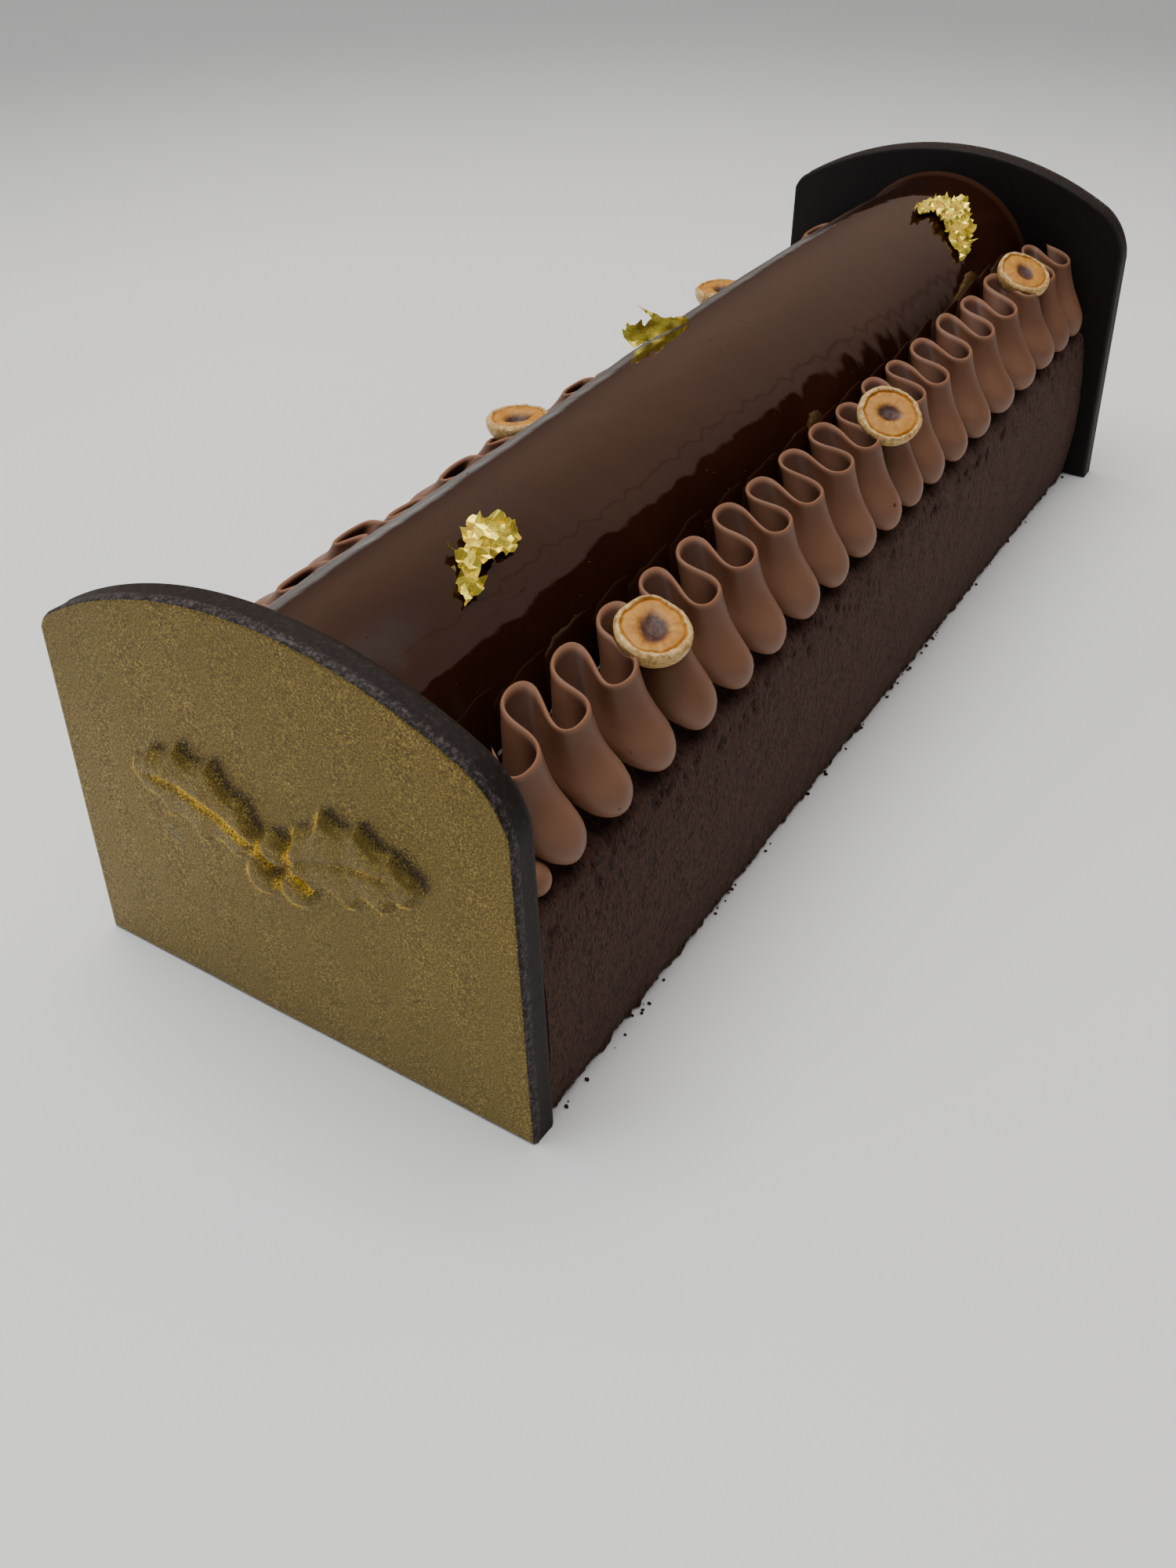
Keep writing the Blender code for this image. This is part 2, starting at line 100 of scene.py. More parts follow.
def smooth(low, high, value):
    """0 below low, 1 above high, and an eased step between."""
    share = min(max((value - low) / (high - low), 0.0), 1.0)
    return share * share * (3 - 2 * share)


def hump(distance, width):
    """1 at no distance, falling to almost nothing at twice the width."""
    return math.exp(-(distance / width) ** 2)


def denser_at_ends(share, strength):
    return mix(share, (1 - math.cos(math.pi * share)) / 2, strength)


def between_walls(x, z, share):
    """Y at a share of the way from the front plaque to the far one, a hair clear of both."""
    return mix(front_wall(x) + CLEARANCE, far_wall(x, z) - CLEARANCE, share)


def rough(x, y, z, size, octaves=3):
    """Fractal noise from about -1 to 1 whose largest lumps have this size in metres."""
    return noise.fractal(Vector((x, y, z)) / size, 1.0, 2.0, octaves) * 0.9


def in_mm(*values):
    return tuple(value * MM for value in values)


def join(mesh, rows, closed=True):
    """Quads between rows of vertices, one row after another."""
    for row, following in zip(rows, rows[1:]):
        for i in range(len(row) if closed else len(row) - 1):
            j = (i + 1) % len(row)
            mesh.faces.new((row[i], row[j], following[j], following[i]))


def loft(rings):
    """A closed bmesh through rings with the same number of points."""
    mesh = bmesh.new()
    rows = [[mesh.verts.new(point) for point in ring] for ring in rings]
    join(mesh, rows)
    mesh.faces.new(rows[0])
    mesh.faces.new(rows[-1][::-1])
    return mesh


def mesh_data(name, mesh):
    """The bmesh as mesh data; the bmesh itself is freed."""
    data = bpy.data.meshes.new(name)
    mesh.to_mesh(data)
    mesh.free()
    return data


def show(name, data):
    """Link a new object with this data into the scene."""
    thing = bpy.data.objects.new(name, data)
    bpy.context.collection.objects.link(thing)
    return thing


def make_piece(name, mesh, material, sharp_angle=50):
    """Put a bmesh on an object, with its faces outwards and its shading smooth."""
    bmesh.ops.recalc_face_normals(mesh, faces=mesh.faces)
    data = mesh_data(name, mesh)
    data.shade_smooth()
    data.set_sharp_from_angle(angle=math.radians(sharp_angle))
    data.materials.append(material)
    return show(name, data)


def paint(piece, numbers):
    """Store lists of one number a point, which a material reads by their names."""
    for name, values in numbers.items():
        piece.data.attributes.new(name, "FLOAT", "POINT").data.foreach_set("value", values)


def seat(piece, slot, *nodes):
    """Attach a finished piece to the root, hide the model's parts that it stands for, and print its face
    count.
    """
    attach(piece, "root")
    if nodes:
        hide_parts(*nodes)
    faces = len(piece.data.polygons)
    print("%-16s %6d faces, for %s" % (piece.name, faces, ", ".join(nodes) or "extra"))


# %% [markdown]
# ## Sums made of nodes
#
# Materials and Geometry Nodes trees both do their sums with Math nodes, which are tedious to place
# by hand. The class below stands for a number inside a tree. Python's own plus and times signs then
# add the nodes, so a formula reads like a formula.


# %% A number inside a node tree
class Number:
    """A value in a node tree. Arithmetic on it adds Math nodes to the tree."""

    def __init__(self, tree, socket):
        self.tree = tree
        self.socket = socket

    __add__ = __radd__ = lambda self, other: sum_node("ADD", self, other)
    __sub__ = lambda self, other: sum_node("SUBTRACT", self, other)
    __rsub__ = lambda self, other: sum_node("SUBTRACT", other, self)
    __mul__ = __rmul__ = lambda self, other: sum_node("MULTIPLY", self, other)
    __truediv__ = lambda self, other: sum_node("DIVIDE", self, other)


def wire(tree, value, slot):
    """Link a Number or a socket to a node's input, or set the input to a constant."""
    source = value.socket if isinstance(value, Number) else value
    if isinstance(source, bpy.types.NodeSocket):
        tree.links.new(source, slot)
    elif slot.type == "RGBA":
        slot.default_value = (*source, 1.0)
    else:
        slot.default_value = source


def add_node(tree, kind, inputs=None, **settings):
    """A new node with its settings made and its inputs, by name or number, wired."""
    node = tree.nodes.new(kind)
    for name, value in settings.items():
        setattr(node, name, value)
    for key, value in (inputs or {}).items():
        wire(tree, value, node.inputs[key])
    return node


def sum_node(operation, *values):
    """One Math node. At least one of its values is a Number."""
    tree = next(value.tree for value in values if isinstance(value, Number))
    node = add_node(tree, "ShaderNodeMath", dict(enumerate(values)), operation=operation)
    return Number(tree, node.outputs[0])


arctangent, sine, cosine, root, unsigned, sign, raised, at_least, at_most = (
    partial(sum_node, operation) for operation in
    ("ARCTAN2", "SINE", "COSINE", "SQRT", "ABSOLUTE", "SIGN", "POWER", "MAXIMUM", "MINIMUM"))


def eased(value, low, high, start=0.0, end=1.0):
    """A Map Range node: start below low, end above high, eased between."""
    inputs = {"Value": value, "From Min": low, "From Max": high, "To Min": start, "To Max": end}
    node = add_node(value.tree, "ShaderNodeMapRange", inputs, interpolation_type="SMOOTHSTEP")
    return Number(value.tree, node.outputs["Result"])


def axes_of(tree, vector):
    """The x, y and z of a vector socket."""
    return [Number(tree, axis) for axis in add_node(tree, "ShaderNodeSeparateXYZ", {0: vector}).outputs]


# %% [markdown]
# ## Small tools for materials
#
# Every finish here is procedural and reads Object coordinates, which are metres on this cake. A
# pattern's size can then be given as a real size. A Noise texture of scale 1000 has lumps of about a
# millimetre, and the helpers below hide that conversion.


# %% Material helpers
class Finish:
    """A material that is put together step by step."""

    def __init__(self, name, **settings):
        self.material = bpy.data.materials.new(name)
        self.material.use_nodes = True
        self.tree = self.material.node_tree
        self.shader = self.tree.nodes["Principled BSDF"]
        self.place = add_node(self.tree, "ShaderNodeTexCoord").outputs["Object"]
        for socket, value in settings.items():
            self.feed(socket.replace("_", " "), value)

    def feed(self, socket, value):
        """Give one of the shader's sockets a colour or a number."""
        wire(self.tree, value, self.shader.inputs[socket])

    def number(self, kind, output, inputs=None, **settings):
        """The number that comes out of a new node."""
        return Number(self.tree, add_node(self.tree, kind, inputs, **settings).outputs[output])

    def stretched(self, *scale):
        """Object coordinates multiplied along each axis."""
        inputs = {"Vector": self.place, "Scale": scale}
        return add_node(self.tree, "ShaderNodeMapping", inputs).outputs["Vector"]

    def grain(self, size, detail=2.0, roughness=0.5, place=None, warp=0.0):
        """Noise from 0 to 1 with lumps of this size in metres."""
        return self.number("ShaderNodeTexNoise", 0, {
            "Vector": place or self.place, "Scale": 1 / size, "Detail": detail,
            "Roughness": roughness, "Distortion": warp})

    def cells(self, size, place=None):
        """Distance to the nearest of scattered points, in cells of this size."""
        inputs = {"Vector": place or self.place, "Scale": 1 / size}
        return self.number("ShaderNodeTexVoronoi", "Distance", inputs)

    def painted(self, name):
        """A number painted on the mesh's points."""
        return self.number("ShaderNodeAttribute", "Fac", attribute_name=name)

    def colour(self, factor, *stops):
        """Colours laid out along a number: pairs of position and linear RGB."""
        node = add_node(self.tree, "ShaderNodeValToRGB", {"Fac": factor})
        elements = node.color_ramp.elements
        while len(elements) < len(stops):
            elements.new(0.5)
        for element, (position, rgb) in zip(elements, stops):
            element.position = position
            element.color = (*rgb, 1.0)
        return node.outputs["Color"]

    def blended(self, factor, first, second):
        """Two colours mixed by a number; either may be a socket or linear RGB."""
        inputs = {"Factor": factor, 6: first, 7: second}
        return add_node(self.tree, "ShaderNodeMix", inputs, data_type="RGBA").outputs[2]

    def relief(self, height, depth, strength=1.0):
        """Bump from a height of 0 to 1 that stands for this depth in metres."""
        inputs = {"Strength": strength, "Distance": depth, "Height": height}
        self.feed("Normal", add_node(self.tree, "ShaderNodeBump", inputs).outputs["Normal"])


# %% [markdown]
# ## Camera and light
#
# The camera stands close to the cake and looks down along it, so the front plaque is large and the
# far one small. The light is that of a plain room: white from above and from the left, and dim on
# the right. That matters more here than on most objects, because a mirror glaze has hardly any
# colour of its own and shows what stands around it. Behind the cake the room is a warm brown wall
# that grows brighter with height and ends at a dark opening on the right. The glaze's long soft
# band, and the line where it turns dark, are nothing but that wall and its edge.

# %% Camera
EYE = Vector(in_mm(146.8, -292.0, 209.9))
YAW = math.radians(31.77)
LOOK_DOWN = math.radians(37.71)
ROLL = math.radians(-0.713)
lens = bpy.data.cameras.new("camera")
lens.lens = 34.79
lens.sensor_width = 36.0
lens.clip_start = 0.01
camera = show("camera", lens)
camera.matrix_world = (Matrix.Translation(EYE) @ Matrix.Rotation(YAW, 4, "Z")
                       @ Matrix.Rotation(math.pi / 2 - LOOK_DOWN, 4, "X")
                       @ Matrix.Rotation(ROLL, 4, "Z"))
bpy.context.scene.camera = camera
print("camera is %.2f m from the cake's middle" % EYE.length)

# %% A panel of light overhead, turned to the cake
LIGHT_PLACE = (-0.32, -0.10, 1.6)
LIGHT_SIDE = 1.15
LIGHT_WATTS = 18.5
light = bpy.data.lights.new("ceiling_light", "AREA")
light.shape = "RECTANGLE"
light.size = light.size_y = LIGHT_SIDE
light.energy = LIGHT_WATTS
light.color = (1.0, 0.99, 0.97)
lamp = show("ceiling_light", light)
lamp.location = LIGHT_PLACE
lamp.rotation_euler = (-Vector(LIGHT_PLACE)).to_track_quat("-Z", "Y").to_euler()

# %% The room as a World shader
WALL_LEFT = -1.4             # bearings in radians, from the cake's far end towards its right
WALL_RIGHT = 0.45
WALL_LEAN = 4.3              # how far the wall's right edge leans out, above WALL_LEAN_FROM
WALL_LEAN_FROM = 0.31
MULLION = 0.365              # bearing of a thin dark upright in the wall
DARK_TO = 1.05               # the opening beside the wall ends here
WINDOW_FROM = -2.7

world = bpy.data.worlds.new("room")
world.use_nodes = True
bpy.context.scene.world = world
room = world.node_tree
looking = add_node(room, "ShaderNodeTexCoord").outputs["Generated"]
to_the_right, to_the_back, upwards = axes_of(room, looking)
bearing = arctangent(to_the_right, to_the_back)
above_lean = at_least(upwards - WALL_LEAN_FROM, 0.0)
edge = above_lean * above_lean * WALL_LEAN + WALL_RIGHT
wall_end = eased(bearing - edge, -0.02, 0.03, 1.0, 0.03)
mullion = eased(unsigned(bearing - MULLION), 0.006, 0.022, 0.72, 1.0)
wall = eased(upwards, -0.15, 0.66, 0.10, 0.70) * wall_end * mullion
window_side = eased(bearing, WINDOW_FROM, WINDOW_FROM + 0.25, 0.20, 1.05)
is_wall = eased(bearing, WALL_LEFT - 0.1, WALL_LEFT + 0.1)
past_the_dark = eased(bearing, DARK_TO - 0.15, DARK_TO + 0.15)
level = window_side * (1 - is_wall) + wall * is_wall + past_the_dark * 0.22
overhead = eased(upwards, 0.75, 0.92)
tinted = is_wall * (1 - overhead) * (1 - past_the_dark)
paper = add_node(room, "ShaderNodeMix", {"Factor": tinted, 6: (0.93, 0.98, 1.0), 7: (1.0, 0.70, 0.56)},
                 data_type="RGBA")
background = room.nodes["Background"]
wire(room, paper.outputs[2], background.inputs["Color"])
wire(room, level * (1 - overhead) + overhead * 1.1, background.inputs["Strength"])

# %% Floor, with painted light: paler near the cake
FLOOR_SIZE = 6.0
floor_mesh = bmesh.new()
bmesh.ops.create_grid(floor_mesh, x_segments=2, y_segments=2, size=FLOOR_SIZE / 2)
table = Finish("pale_floor", Roughness=0.6)
across, along, _ = axes_of(table.tree, table.place)
away = root(raised(across, 2.0) + raised(along, 2.0))
near_tone = table.colour(table.grain(0.35, 1.0), (0.3, (0.90, 0.92, 0.90)), (0.7, (0.94, 0.955, 0.935)))
# painted light: the floor's colour darkens with distance from the cake, a painted falloff of the light
painted_falloff_tone = table.blended(eased(away, 0.22, 0.80), near_tone, (0.38, 0.41, 0.41))
table.feed("Base Color", table.blended(eased(away, 0.9, 2.4), painted_falloff_tone, (0.24, 0.24, 0.235)))
floor = make_piece("floor", floor_mesh, table.material)

# %% [markdown]
# ## End plaques
#
# Each plaque is chocolate cast in a mould and brushed with gold lustre dust. A sprig stands up from
# the middle of its face. A mould gives soft edges, so the sprig is first drawn as a few outlines,
# and a map of heights is made from them: it rises over the first millimetre and a half from each
# outline and is then domed. The plaque's face is a grid that follows the arched outline and takes
# its depth from that map. The same map also places painted light on the gold: a painted shadow on
# the upper right of each form, and a painted highlight on the slopes that face down and to the left.

# %% The outline and the sprig
FOOT_HALF = 52.0 * MM
PLAQUE_SHOULDER = 50.0 * MM
PLAQUE_SHOULDER_Z = 73.4 * MM
PLAQUE_HEIGHT = 89.0 * MM
EDGE_ROUND = 0.9 * MM
SHARP_SHOULDER = 3.0 * MM
ROUND_SHOULDER = 8.0 * MM
ARCH_RISE = PLAQUE_HEIGHT - PLAQUE_SHOULDER_Z
ARCH_RADIUS = (PLAQUE_SHOULDER ** 2 + ARCH_RISE ** 2) / (2 * ARCH_RISE)

# the sprig and its maps are in millimetres
SPRIG_Z = 42.0
LEAF_FROM = 3.0
LEAF_REACH = 30.0
LEAF_HALF = 9.6
LEAF_TILT = math.radians(14.0)
LEAF_BEND = 2.4
LEAF_SPINES = (0.0, 0.16, 0.42, 0.68, 0.88, 1.0)
LEAF_RISE = 2.1
LEAF_BEVEL = 1.5
BERRIES = ((-3.7, -5.6), (4.1, -4.9), (0.3, 2.2))
BERRY_RADIUS = 3.7
BERRY_RISE = 2.3
MAP_STEP = 0.35
MAP_X = 42.0
MAP_LOW = 18.0
MAP_HIGH = 66.0


def plaque_side(z):
    """The plaque's half width at height z."""
    return mix(FOOT_HALF, PLAQUE_SHOULDER, min(z / PLAQUE_SHOULDER_Z, 1.0))


def top_edge(x, shoulders):
    """Height of the arched top at x. Its shoulders are rounded by two radii, left and right."""
    arch = PLAQUE_HEIGHT - ARCH_RADIUS + math.sqrt(ARCH_RADIUS ** 2 - min(x * x, PLAQUE_SHOULDER ** 2))
    radius = shoulders[x > 0]
    into_corner = min(max(abs(x) - (PLAQUE_SHOULDER - radius), 0.0), radius)
    return arch - radius + math.sqrt(radius ** 2 - into_corner ** 2)


def leaf_half_width(share):
    """Half width of a holly leaf: hollow arcs hang between its spines."""
    body = LEAF_HALF * np.sin(math.pi * np.clip(share * 0.93 + 0.045, 0, 1)) ** 0.7
    hollow = np.zeros_like(share)
    for start, end in zip(LEAF_SPINES, LEAF_SPINES[1:]):
        within = np.clip((share - start) / (end - start), 0, 1)
        hollow += 0.36 * np.sin(math.pi * within) ** 0.8
    return body * (1.12 - hollow)


def leaf_heights(x, z, side):
    """Height of one leaf on the map's points."""
    along = side * x * math.cos(LEAF_TILT) + (z - SPRIG_Z) * math.sin(LEAF_TILT) - LEAF_FROM
    across = (z - SPRIG_Z) * math.cos(LEAF_TILT) - side * x * math.sin(LEAF_TILT)
    share = along / LEAF_REACH
    inside = (share > 0) & (share < 1)
    share = np.clip(share, 0.0, 1.0)
    off_rib = across - LEAF_BEND * np.sin(math.pi * share)
    half = leaf_half_width(share)
    depth = np.clip(half - np.abs(off_rib), 0, None)
    depth = np.minimum(depth, np.minimum(share, 1 - share) * LEAF_REACH * 0.9 + 0.4)
    rise = np.clip(depth / LEAF_BEVEL, 0, 1)
    rise = rise * rise * (3 - 2 * rise)
    crown = 0.78 + 0.22 * np.cos(np.clip(off_rib / np.maximum(half, 0.5), -1, 1) * math.pi / 2)
    rib = 0.40 * np.exp(-(off_rib / 0.60) ** 2) * np.clip((1 - share) * 4, 0, 1)
    to_vein = np.abs((share * 6.5 - np.abs(off_rib) / LEAF_HALF * 1.5 + 0.5) % 1.0 - 0.5)
    veins = 0.07 * np.exp(-(to_vein / 0.10) ** 2) * np.clip(depth / 1.4 - 0.3, 0, 1)
    curl = 1 + 0.06 * np.sin(share * 19.0 + side)
    return np.where(inside & (depth > 0), LEAF_RISE * rise * (crown - rib - veins) * curl, 0.0)


def softened(values, times):
    """Average each point with its neighbours, which rounds every corner as a mould does."""
    for _ in range(times):
        wide = np.pad(values, 1, mode="edge")
        values = (4 * values + wide[:-2, 1:-1] + wide[2:, 1:-1] + wide[1:-1, :-2] + wide[1:-1, 2:]) / 8
    return values


def smeared(values, steps, fade):
    """The largest of copies moved along the diagonal, each fainter than the last."""
    result = np.zeros_like(values)
    for step in steps:
        moved = np.roll(values, (step, step), axis=(0, 1))
        result = np.maximum(result, moved * (1 - abs(step) / fade))
    return result


map_x, map_z = np.meshgrid(np.arange(-MAP_X, MAP_X, MAP_STEP), np.arange(MAP_LOW, MAP_HIGH, MAP_STEP),
                           indexing="ij")
sprig = np.maximum(leaf_heights(map_x, map_z, 1), leaf_heights(map_x, map_z, -1))
for berry_x, berry_z in BERRIES:
    from_berry = np.hypot(map_x - berry_x, map_z - SPRIG_Z - berry_z) / BERRY_RADIUS
    ball = BERRY_RISE * np.sqrt(np.clip(1 - from_berry ** 2, 0, 1))
    moat = np.clip((from_berry - 1.0) / 0.16, 0, 1)
    sprig = np.where(from_berry < 1, ball - 0.5 * np.exp(-(from_berry / 0.22) ** 2), sprig * moat)
sprig = softened(sprig, 3)
slope_x, slope_z = np.gradient(sprig, MAP_STEP)
facing = slope_x * 0.75 + slope_z * 0.65           # how far a slope looks down and to the left
form = np.clip(sprig / 0.5, 0, 1)
# painted shadow: dark beside each form, on its upper right; painted highlight: slopes that face down and to
# the left
painted_shadow_beside = smeared(form, range(1, 10), 10) * (1 - form)
lit_slopes = smeared(np.clip(facing, 0, 0.6) / 0.6, range(0, -7, -1), 8)
maps = {"height": sprig, "gathered": softened(lit_slopes, 3), "shade": softened(painted_shadow_beside, 5)}


def on_map(name, x, z):
    """A map's value at a point of the face, x and z in metres, between its grid's points."""
    values = maps[name]
    column = (x / MM + MAP_X) / MAP_STEP
    row = (z / MM - MAP_LOW) / MAP_STEP
    i = int(column)
    j = int(row)
    if column < 0 or row < 0 or i >= values.shape[0] - 1 or j >= values.shape[1] - 1:
        return 0.0
    low = mix(values[i, j], values[i + 1, j], column - i)
    high = mix(values[i, j + 1], values[i + 1, j + 1], column - i)
    return float(mix(low, high, row - j))


print("sprig map %s points, highest %.2f mm" % (sprig.shape, sprig.max()))

# %% Gold dust over dark chocolate
gold = Finish("gold_dust", Specular_IOR_Level=0.25)
fine = gold.grain(0.36 * MM, 2.0, 0.6)
patches = gold.grain(16 * MM, 3.0)
specks = gold.grain(0.30 * MM, 1.0, 0.5)
dusting = gold.colour(fine, (0.28, (0.055, 0.032, 0.0062)), (0.46, (0.150, 0.095, 0.0185)),
                      (0.60, (0.245, 0.164, 0.034)), (0.78, (0.56, 0.41, 0.100)))
olive = gold.blended(eased(patches, 0.35, 0.65, 0.0, 0.35), dusting, (0.142, 0.099, 0.023))
highlight_gold = gold.colour(fine, (0.35, (0.26, 0.135, 0.008)), (0.6, (0.95, 0.58, 0.030)))
# painted highlight: a brighter, more saturated gold on slopes that face down and to the left
gathered = gold.painted("gathered") + (fine - 0.5) * 0.7
golden = gold.blended(eased(gathered, 0.30, 0.95, 0.0, 0.92), olive, highlight_gold)
# painted shadow: dark speckled gold beside each form, on its upper right
shaded = specks + gold.painted("shade") * 0.52
with_painted_shadow = gold.blended(eased(shaded, 0.62, 0.86, 0.0, 0.93), golden, (0.026, 0.016, 0.009))
scuff = gold.grain(9 * MM, 4.0, 0.6, gold.stretched(1.0, 1.0, 0.8), 0.6)
worn = gold.blended(eased(scuff, 0.66, 0.76, 0.0, 0.45), with_painted_shadow, (0.12, 0.115, 0.095))
bare = gold.colour(gold.grain(1.0 * MM, 4.0, 0.6), (0.35, (0.0065, 0.0034, 0.0024)),
                   (0.60, (0.0150, 0.0088, 0.0066)), (0.80, (0.048, 0.036, 0.034)))
bloom = gold.colour(gold.grain(0.8 * MM, 3.0, 0.7), (0.45, (0.012, 0.0075, 0.006)),
                    (0.66, (0.105, 0.083, 0.082)))
dusted_rim = gold.painted("rim_dust") + (specks - 0.5) * 0.6
plain_edge = gold.blended(eased(dusted_rim, 0.3, 0.8, 0.0, 0.8), bare, bloom)
# inner faces: dark chocolate, painted darker still as shade
chocolate = gold.blended(gold.painted("inner"), plain_edge, (0.0060, 0.0034, 0.0030))
coated = eased(gold.painted("coated") + (fine - 0.5) * 0.8, 0.35, 0.6)
gold.feed("Base Color", gold.blended(coated, chocolate, worn))
gold.feed("Metallic", coated * eased(fine, 0.3, 0.7, 0.25, 0.72))
gold.feed("Roughness", 0.66 + coated * (eased(fine, 0.3, 0.7, 0.54, 0.36) - 0.66))
gold.relief(fine + gold.grain(2.5 * MM, 2.0) * 0.6, 0.10 * MM, 0.7)

# %% Build a plaque
COLUMNS = 250
ROWS = 180
EDGE_BANDS = 8
FACE_WAVE = 0.12 * MM
MIDDLE_Z = 40 * MM           # the narrow side's bumps point away from this height


def face_point(i, j, shoulders):
    """A point of the plaque's outline grid: x, z and the distance in from the rim."""
    u = mix(-1, 1, denser_at_ends(i / COLUMNS, 0.3))
    z = denser_at_ends(j / ROWS, 0.3) * top_edge(u * PLAQUE_SHOULDER, shoulders)
    x = u * plaque_side(z)
    return x, z, max(min(z, plaque_side(z) - abs(x), top_edge(x, shoulders) - z), 0.0)


def plaque_piece(name, node, stand, shoulders):
    """One plaque in its own frame, outer face towards -y, then stood in its place."""
    mesh = bmesh.new()
    numbers = {key: [] for key in ("coated", "gathered", "shade", "rim_dust", "inner")}

    def point(x, y, z, **values):
        for key, column in numbers.items():
            column.append(values.get(key, 0.0))
        return mesh.verts.new((x, y, z))

    def sheet_point(i, j, outer):
        x, z, rim = face_point(i, j, shoulders)
        inside = min(rim / EDGE_ROUND, 1.0)
        back = EDGE_ROUND * (1 - math.sqrt(1 - (1 - inside) ** 2))
        wave = FACE_WAVE * rough(x, z, 0.0, 30 * MM) * inside
        if not outer:
            return point(x, PLAQUE_THICKNESS - back + wave, z, inner=smooth(0.3, 1.0, inside))
        height, gathered, shade = (on_map(name, x, z) for name in maps)
        return point(x, back - height * MM + wave, z, coated=smooth(0.15, 0.9, inside),
                     gathered=gathered, shade=shade, rim_dust=1 - inside * 0.5)

    sheets = [[[sheet_point(i, j, outer) for j in range(ROWS + 1)] for i in range(COLUMNS + 1)]
              for outer in (True, False)]
    for sheet in sheets:
        join(mesh, list(zip(*sheet)), closed=False)

    # the narrow side: a band of rows between the two rims, slightly uneven as a casting is
    border = [(i, 0) for i in range(COLUMNS)] + [(COLUMNS, j) for j in range(ROWS)]
    border += [(i, ROWS) for i in range(COLUMNS, 0, -1)] + [(0, j) for j in range(ROWS, 0, -1)]
    bands = [[sheets[0][i][j] for i, j in border]]
    for band in range(1, EDGE_BANDS):
        share = band / EDGE_BANDS
        y = mix(EDGE_ROUND, PLAQUE_THICKNESS - EDGE_ROUND, share)
        row = []
        for i, j in border:
            x, z, _ = face_point(i, j, shoulders)
            pull = 0.10 * MM * rough(x, y, z, 5 * MM) - 0.08 * MM * math.sin(math.pi * share)
            pull /= math.hypot(x, z - MIDDLE_Z)
            up = pull * (z - MIDDLE_Z) if z > 0.5 * MM else 0.0
            row.append(point(x + pull * x, y, z + up, rim_dust=1 - smooth(0.05, 0.45, share)))
        bands.append(row)
    bands.append([sheets[1][i][j] for i, j in border])
    join(mesh, bands)
    mesh.transform(stand)
    piece = make_piece(name, mesh, gold.material, 60)
    paint(piece, numbers)
    seat(piece, "gold", node)


front_stand = Matrix.Translation((-SIDE_STEP, -CAKE_LENGTH / 2, 0.0)) @ Matrix.Rotation(FRONT_TURN, 4, "Z")
far_stand = (Matrix.Translation((SIDE_STEP, CAKE_LENGTH / 2, PLAQUE_THICKNESS * math.sin(FAR_LEAN)))
             @ Matrix.Rotation(math.pi + FAR_TURN, 4, "Z") @ Matrix.Rotation(-FAR_LEAN, 4, "X"))
plaque_piece("front_plaque", "plaque_front", front_stand, (SHARP_SHOULDER, ROUND_SHOULDER))
plaque_piece("far_end_plaque", "plaque_far", far_stand, (ROUND_SHOULDER, SHARP_SHOULDER))

# %% [markdown]
# ## The velvet block
#
# Cocoa butter is sprayed on the frozen mousse and freezes where it lands, which leaves a dull,
# powdery skin like suede. Its foot is ragged, where the cake was lifted over. Just under the piping
# the spray hardly reached, and the skin is full of pits. The sides get real relief of a few tenths
# of a millimetre, and the powder itself, finer than any mesh could hold, is left to the material.

# %% Velvet finish
velvet = Finish("cocoa_velvet", Roughness=0.92, Specular_IOR_Level=0.25, Sheen_Weight=0.14,
                Sheen_Roughness=0.45, Sheen_Tint=(0.85, 0.56, 0.44))
height_up = axes_of(velvet.tree, velvet.place)[2]
powder = velvet.grain(0.75 * MM, 4.0, 0.72, velvet.stretched(1.0, 1.0, 0.75))
clouds = velvet.grain(22 * MM, 3.0)
velvet_tone = velvet.colour(powder, (0.30, (0.0110, 0.0032, 0.0018)), (0.46, (0.040, 0.0132, 0.0078)),
                            (0.62, (0.075, 0.0280, 0.0178)), (0.80, (0.150, 0.067, 0.044)))
# painted shade: darker and redder towards the foot and in a band just under the piping; the clouds add
# patches that differ at random
shade_and_red_patches = (eased(height_up, 0.0, 24 * MM, 0.62, 0.0) + eased(height_up, 35 * MM, 43 * MM, 0.0, 0.5)
          + eased(clouds, 0.38, 0.7, 0.0, 0.4))
warm = velvet.blended(at_most(shade_and_red_patches, 1.0), velvet_tone, (0.040, 0.0110, 0.0062))
speckle = velvet.grain(0.9 * MM, 2.0, 0.6, velvet.stretched(1.0, 1.0, 0.62))
speckled = velvet.blended(eased(speckle, 0.53, 0.63, 0.0, 0.85), warm, (0.0085, 0.0028, 0.0019))
# pits: dents made by the bump and painted nearly black as shade in their hollows, larger towards the piping
pit_cells = velvet.cells(3.4 * MM, velvet.stretched(1.0, 1.0, 0.7)) + velvet.grain(7 * MM, 2.0) * 0.35
pit_size = eased(height_up, 30 * MM, 41 * MM, 0.22, 0.33)
pits = eased(pit_cells, pit_size - 0.03, pit_size + 0.05, 1.0, 0.0)
velvet.feed("Base Color", velvet.blended(pits * 0.8, speckled, (0.006, 0.0028, 0.002)))
velvet.relief(powder - pits * 0.8 - eased(speckle, 0.53, 0.63) * 0.6, 0.5 * MM)

# %% The block
BODY_HALF = 48.0 * MM
BODY_BULGE = 0.9 * MM
BODY_LEAN = 1.2 * MM
SHOULDER_X = 44.0 * MM
SHOULDER_Z = 46.9 * MM
SHOULDER_ROUND = 3.4 * MM
SHOULDER_FALL = 2.4 * MM     # the shoulder is lower by this much at the far end
FOOT_ROUND = 0.9 * MM
SEAT_X = 28.6 * MM
SEAT_Z = 53.0 * MM
SIDE_ROWS = 84
SHOULDER_ROWS = 8
TOP_ROWS = 14
STATIONS = 430


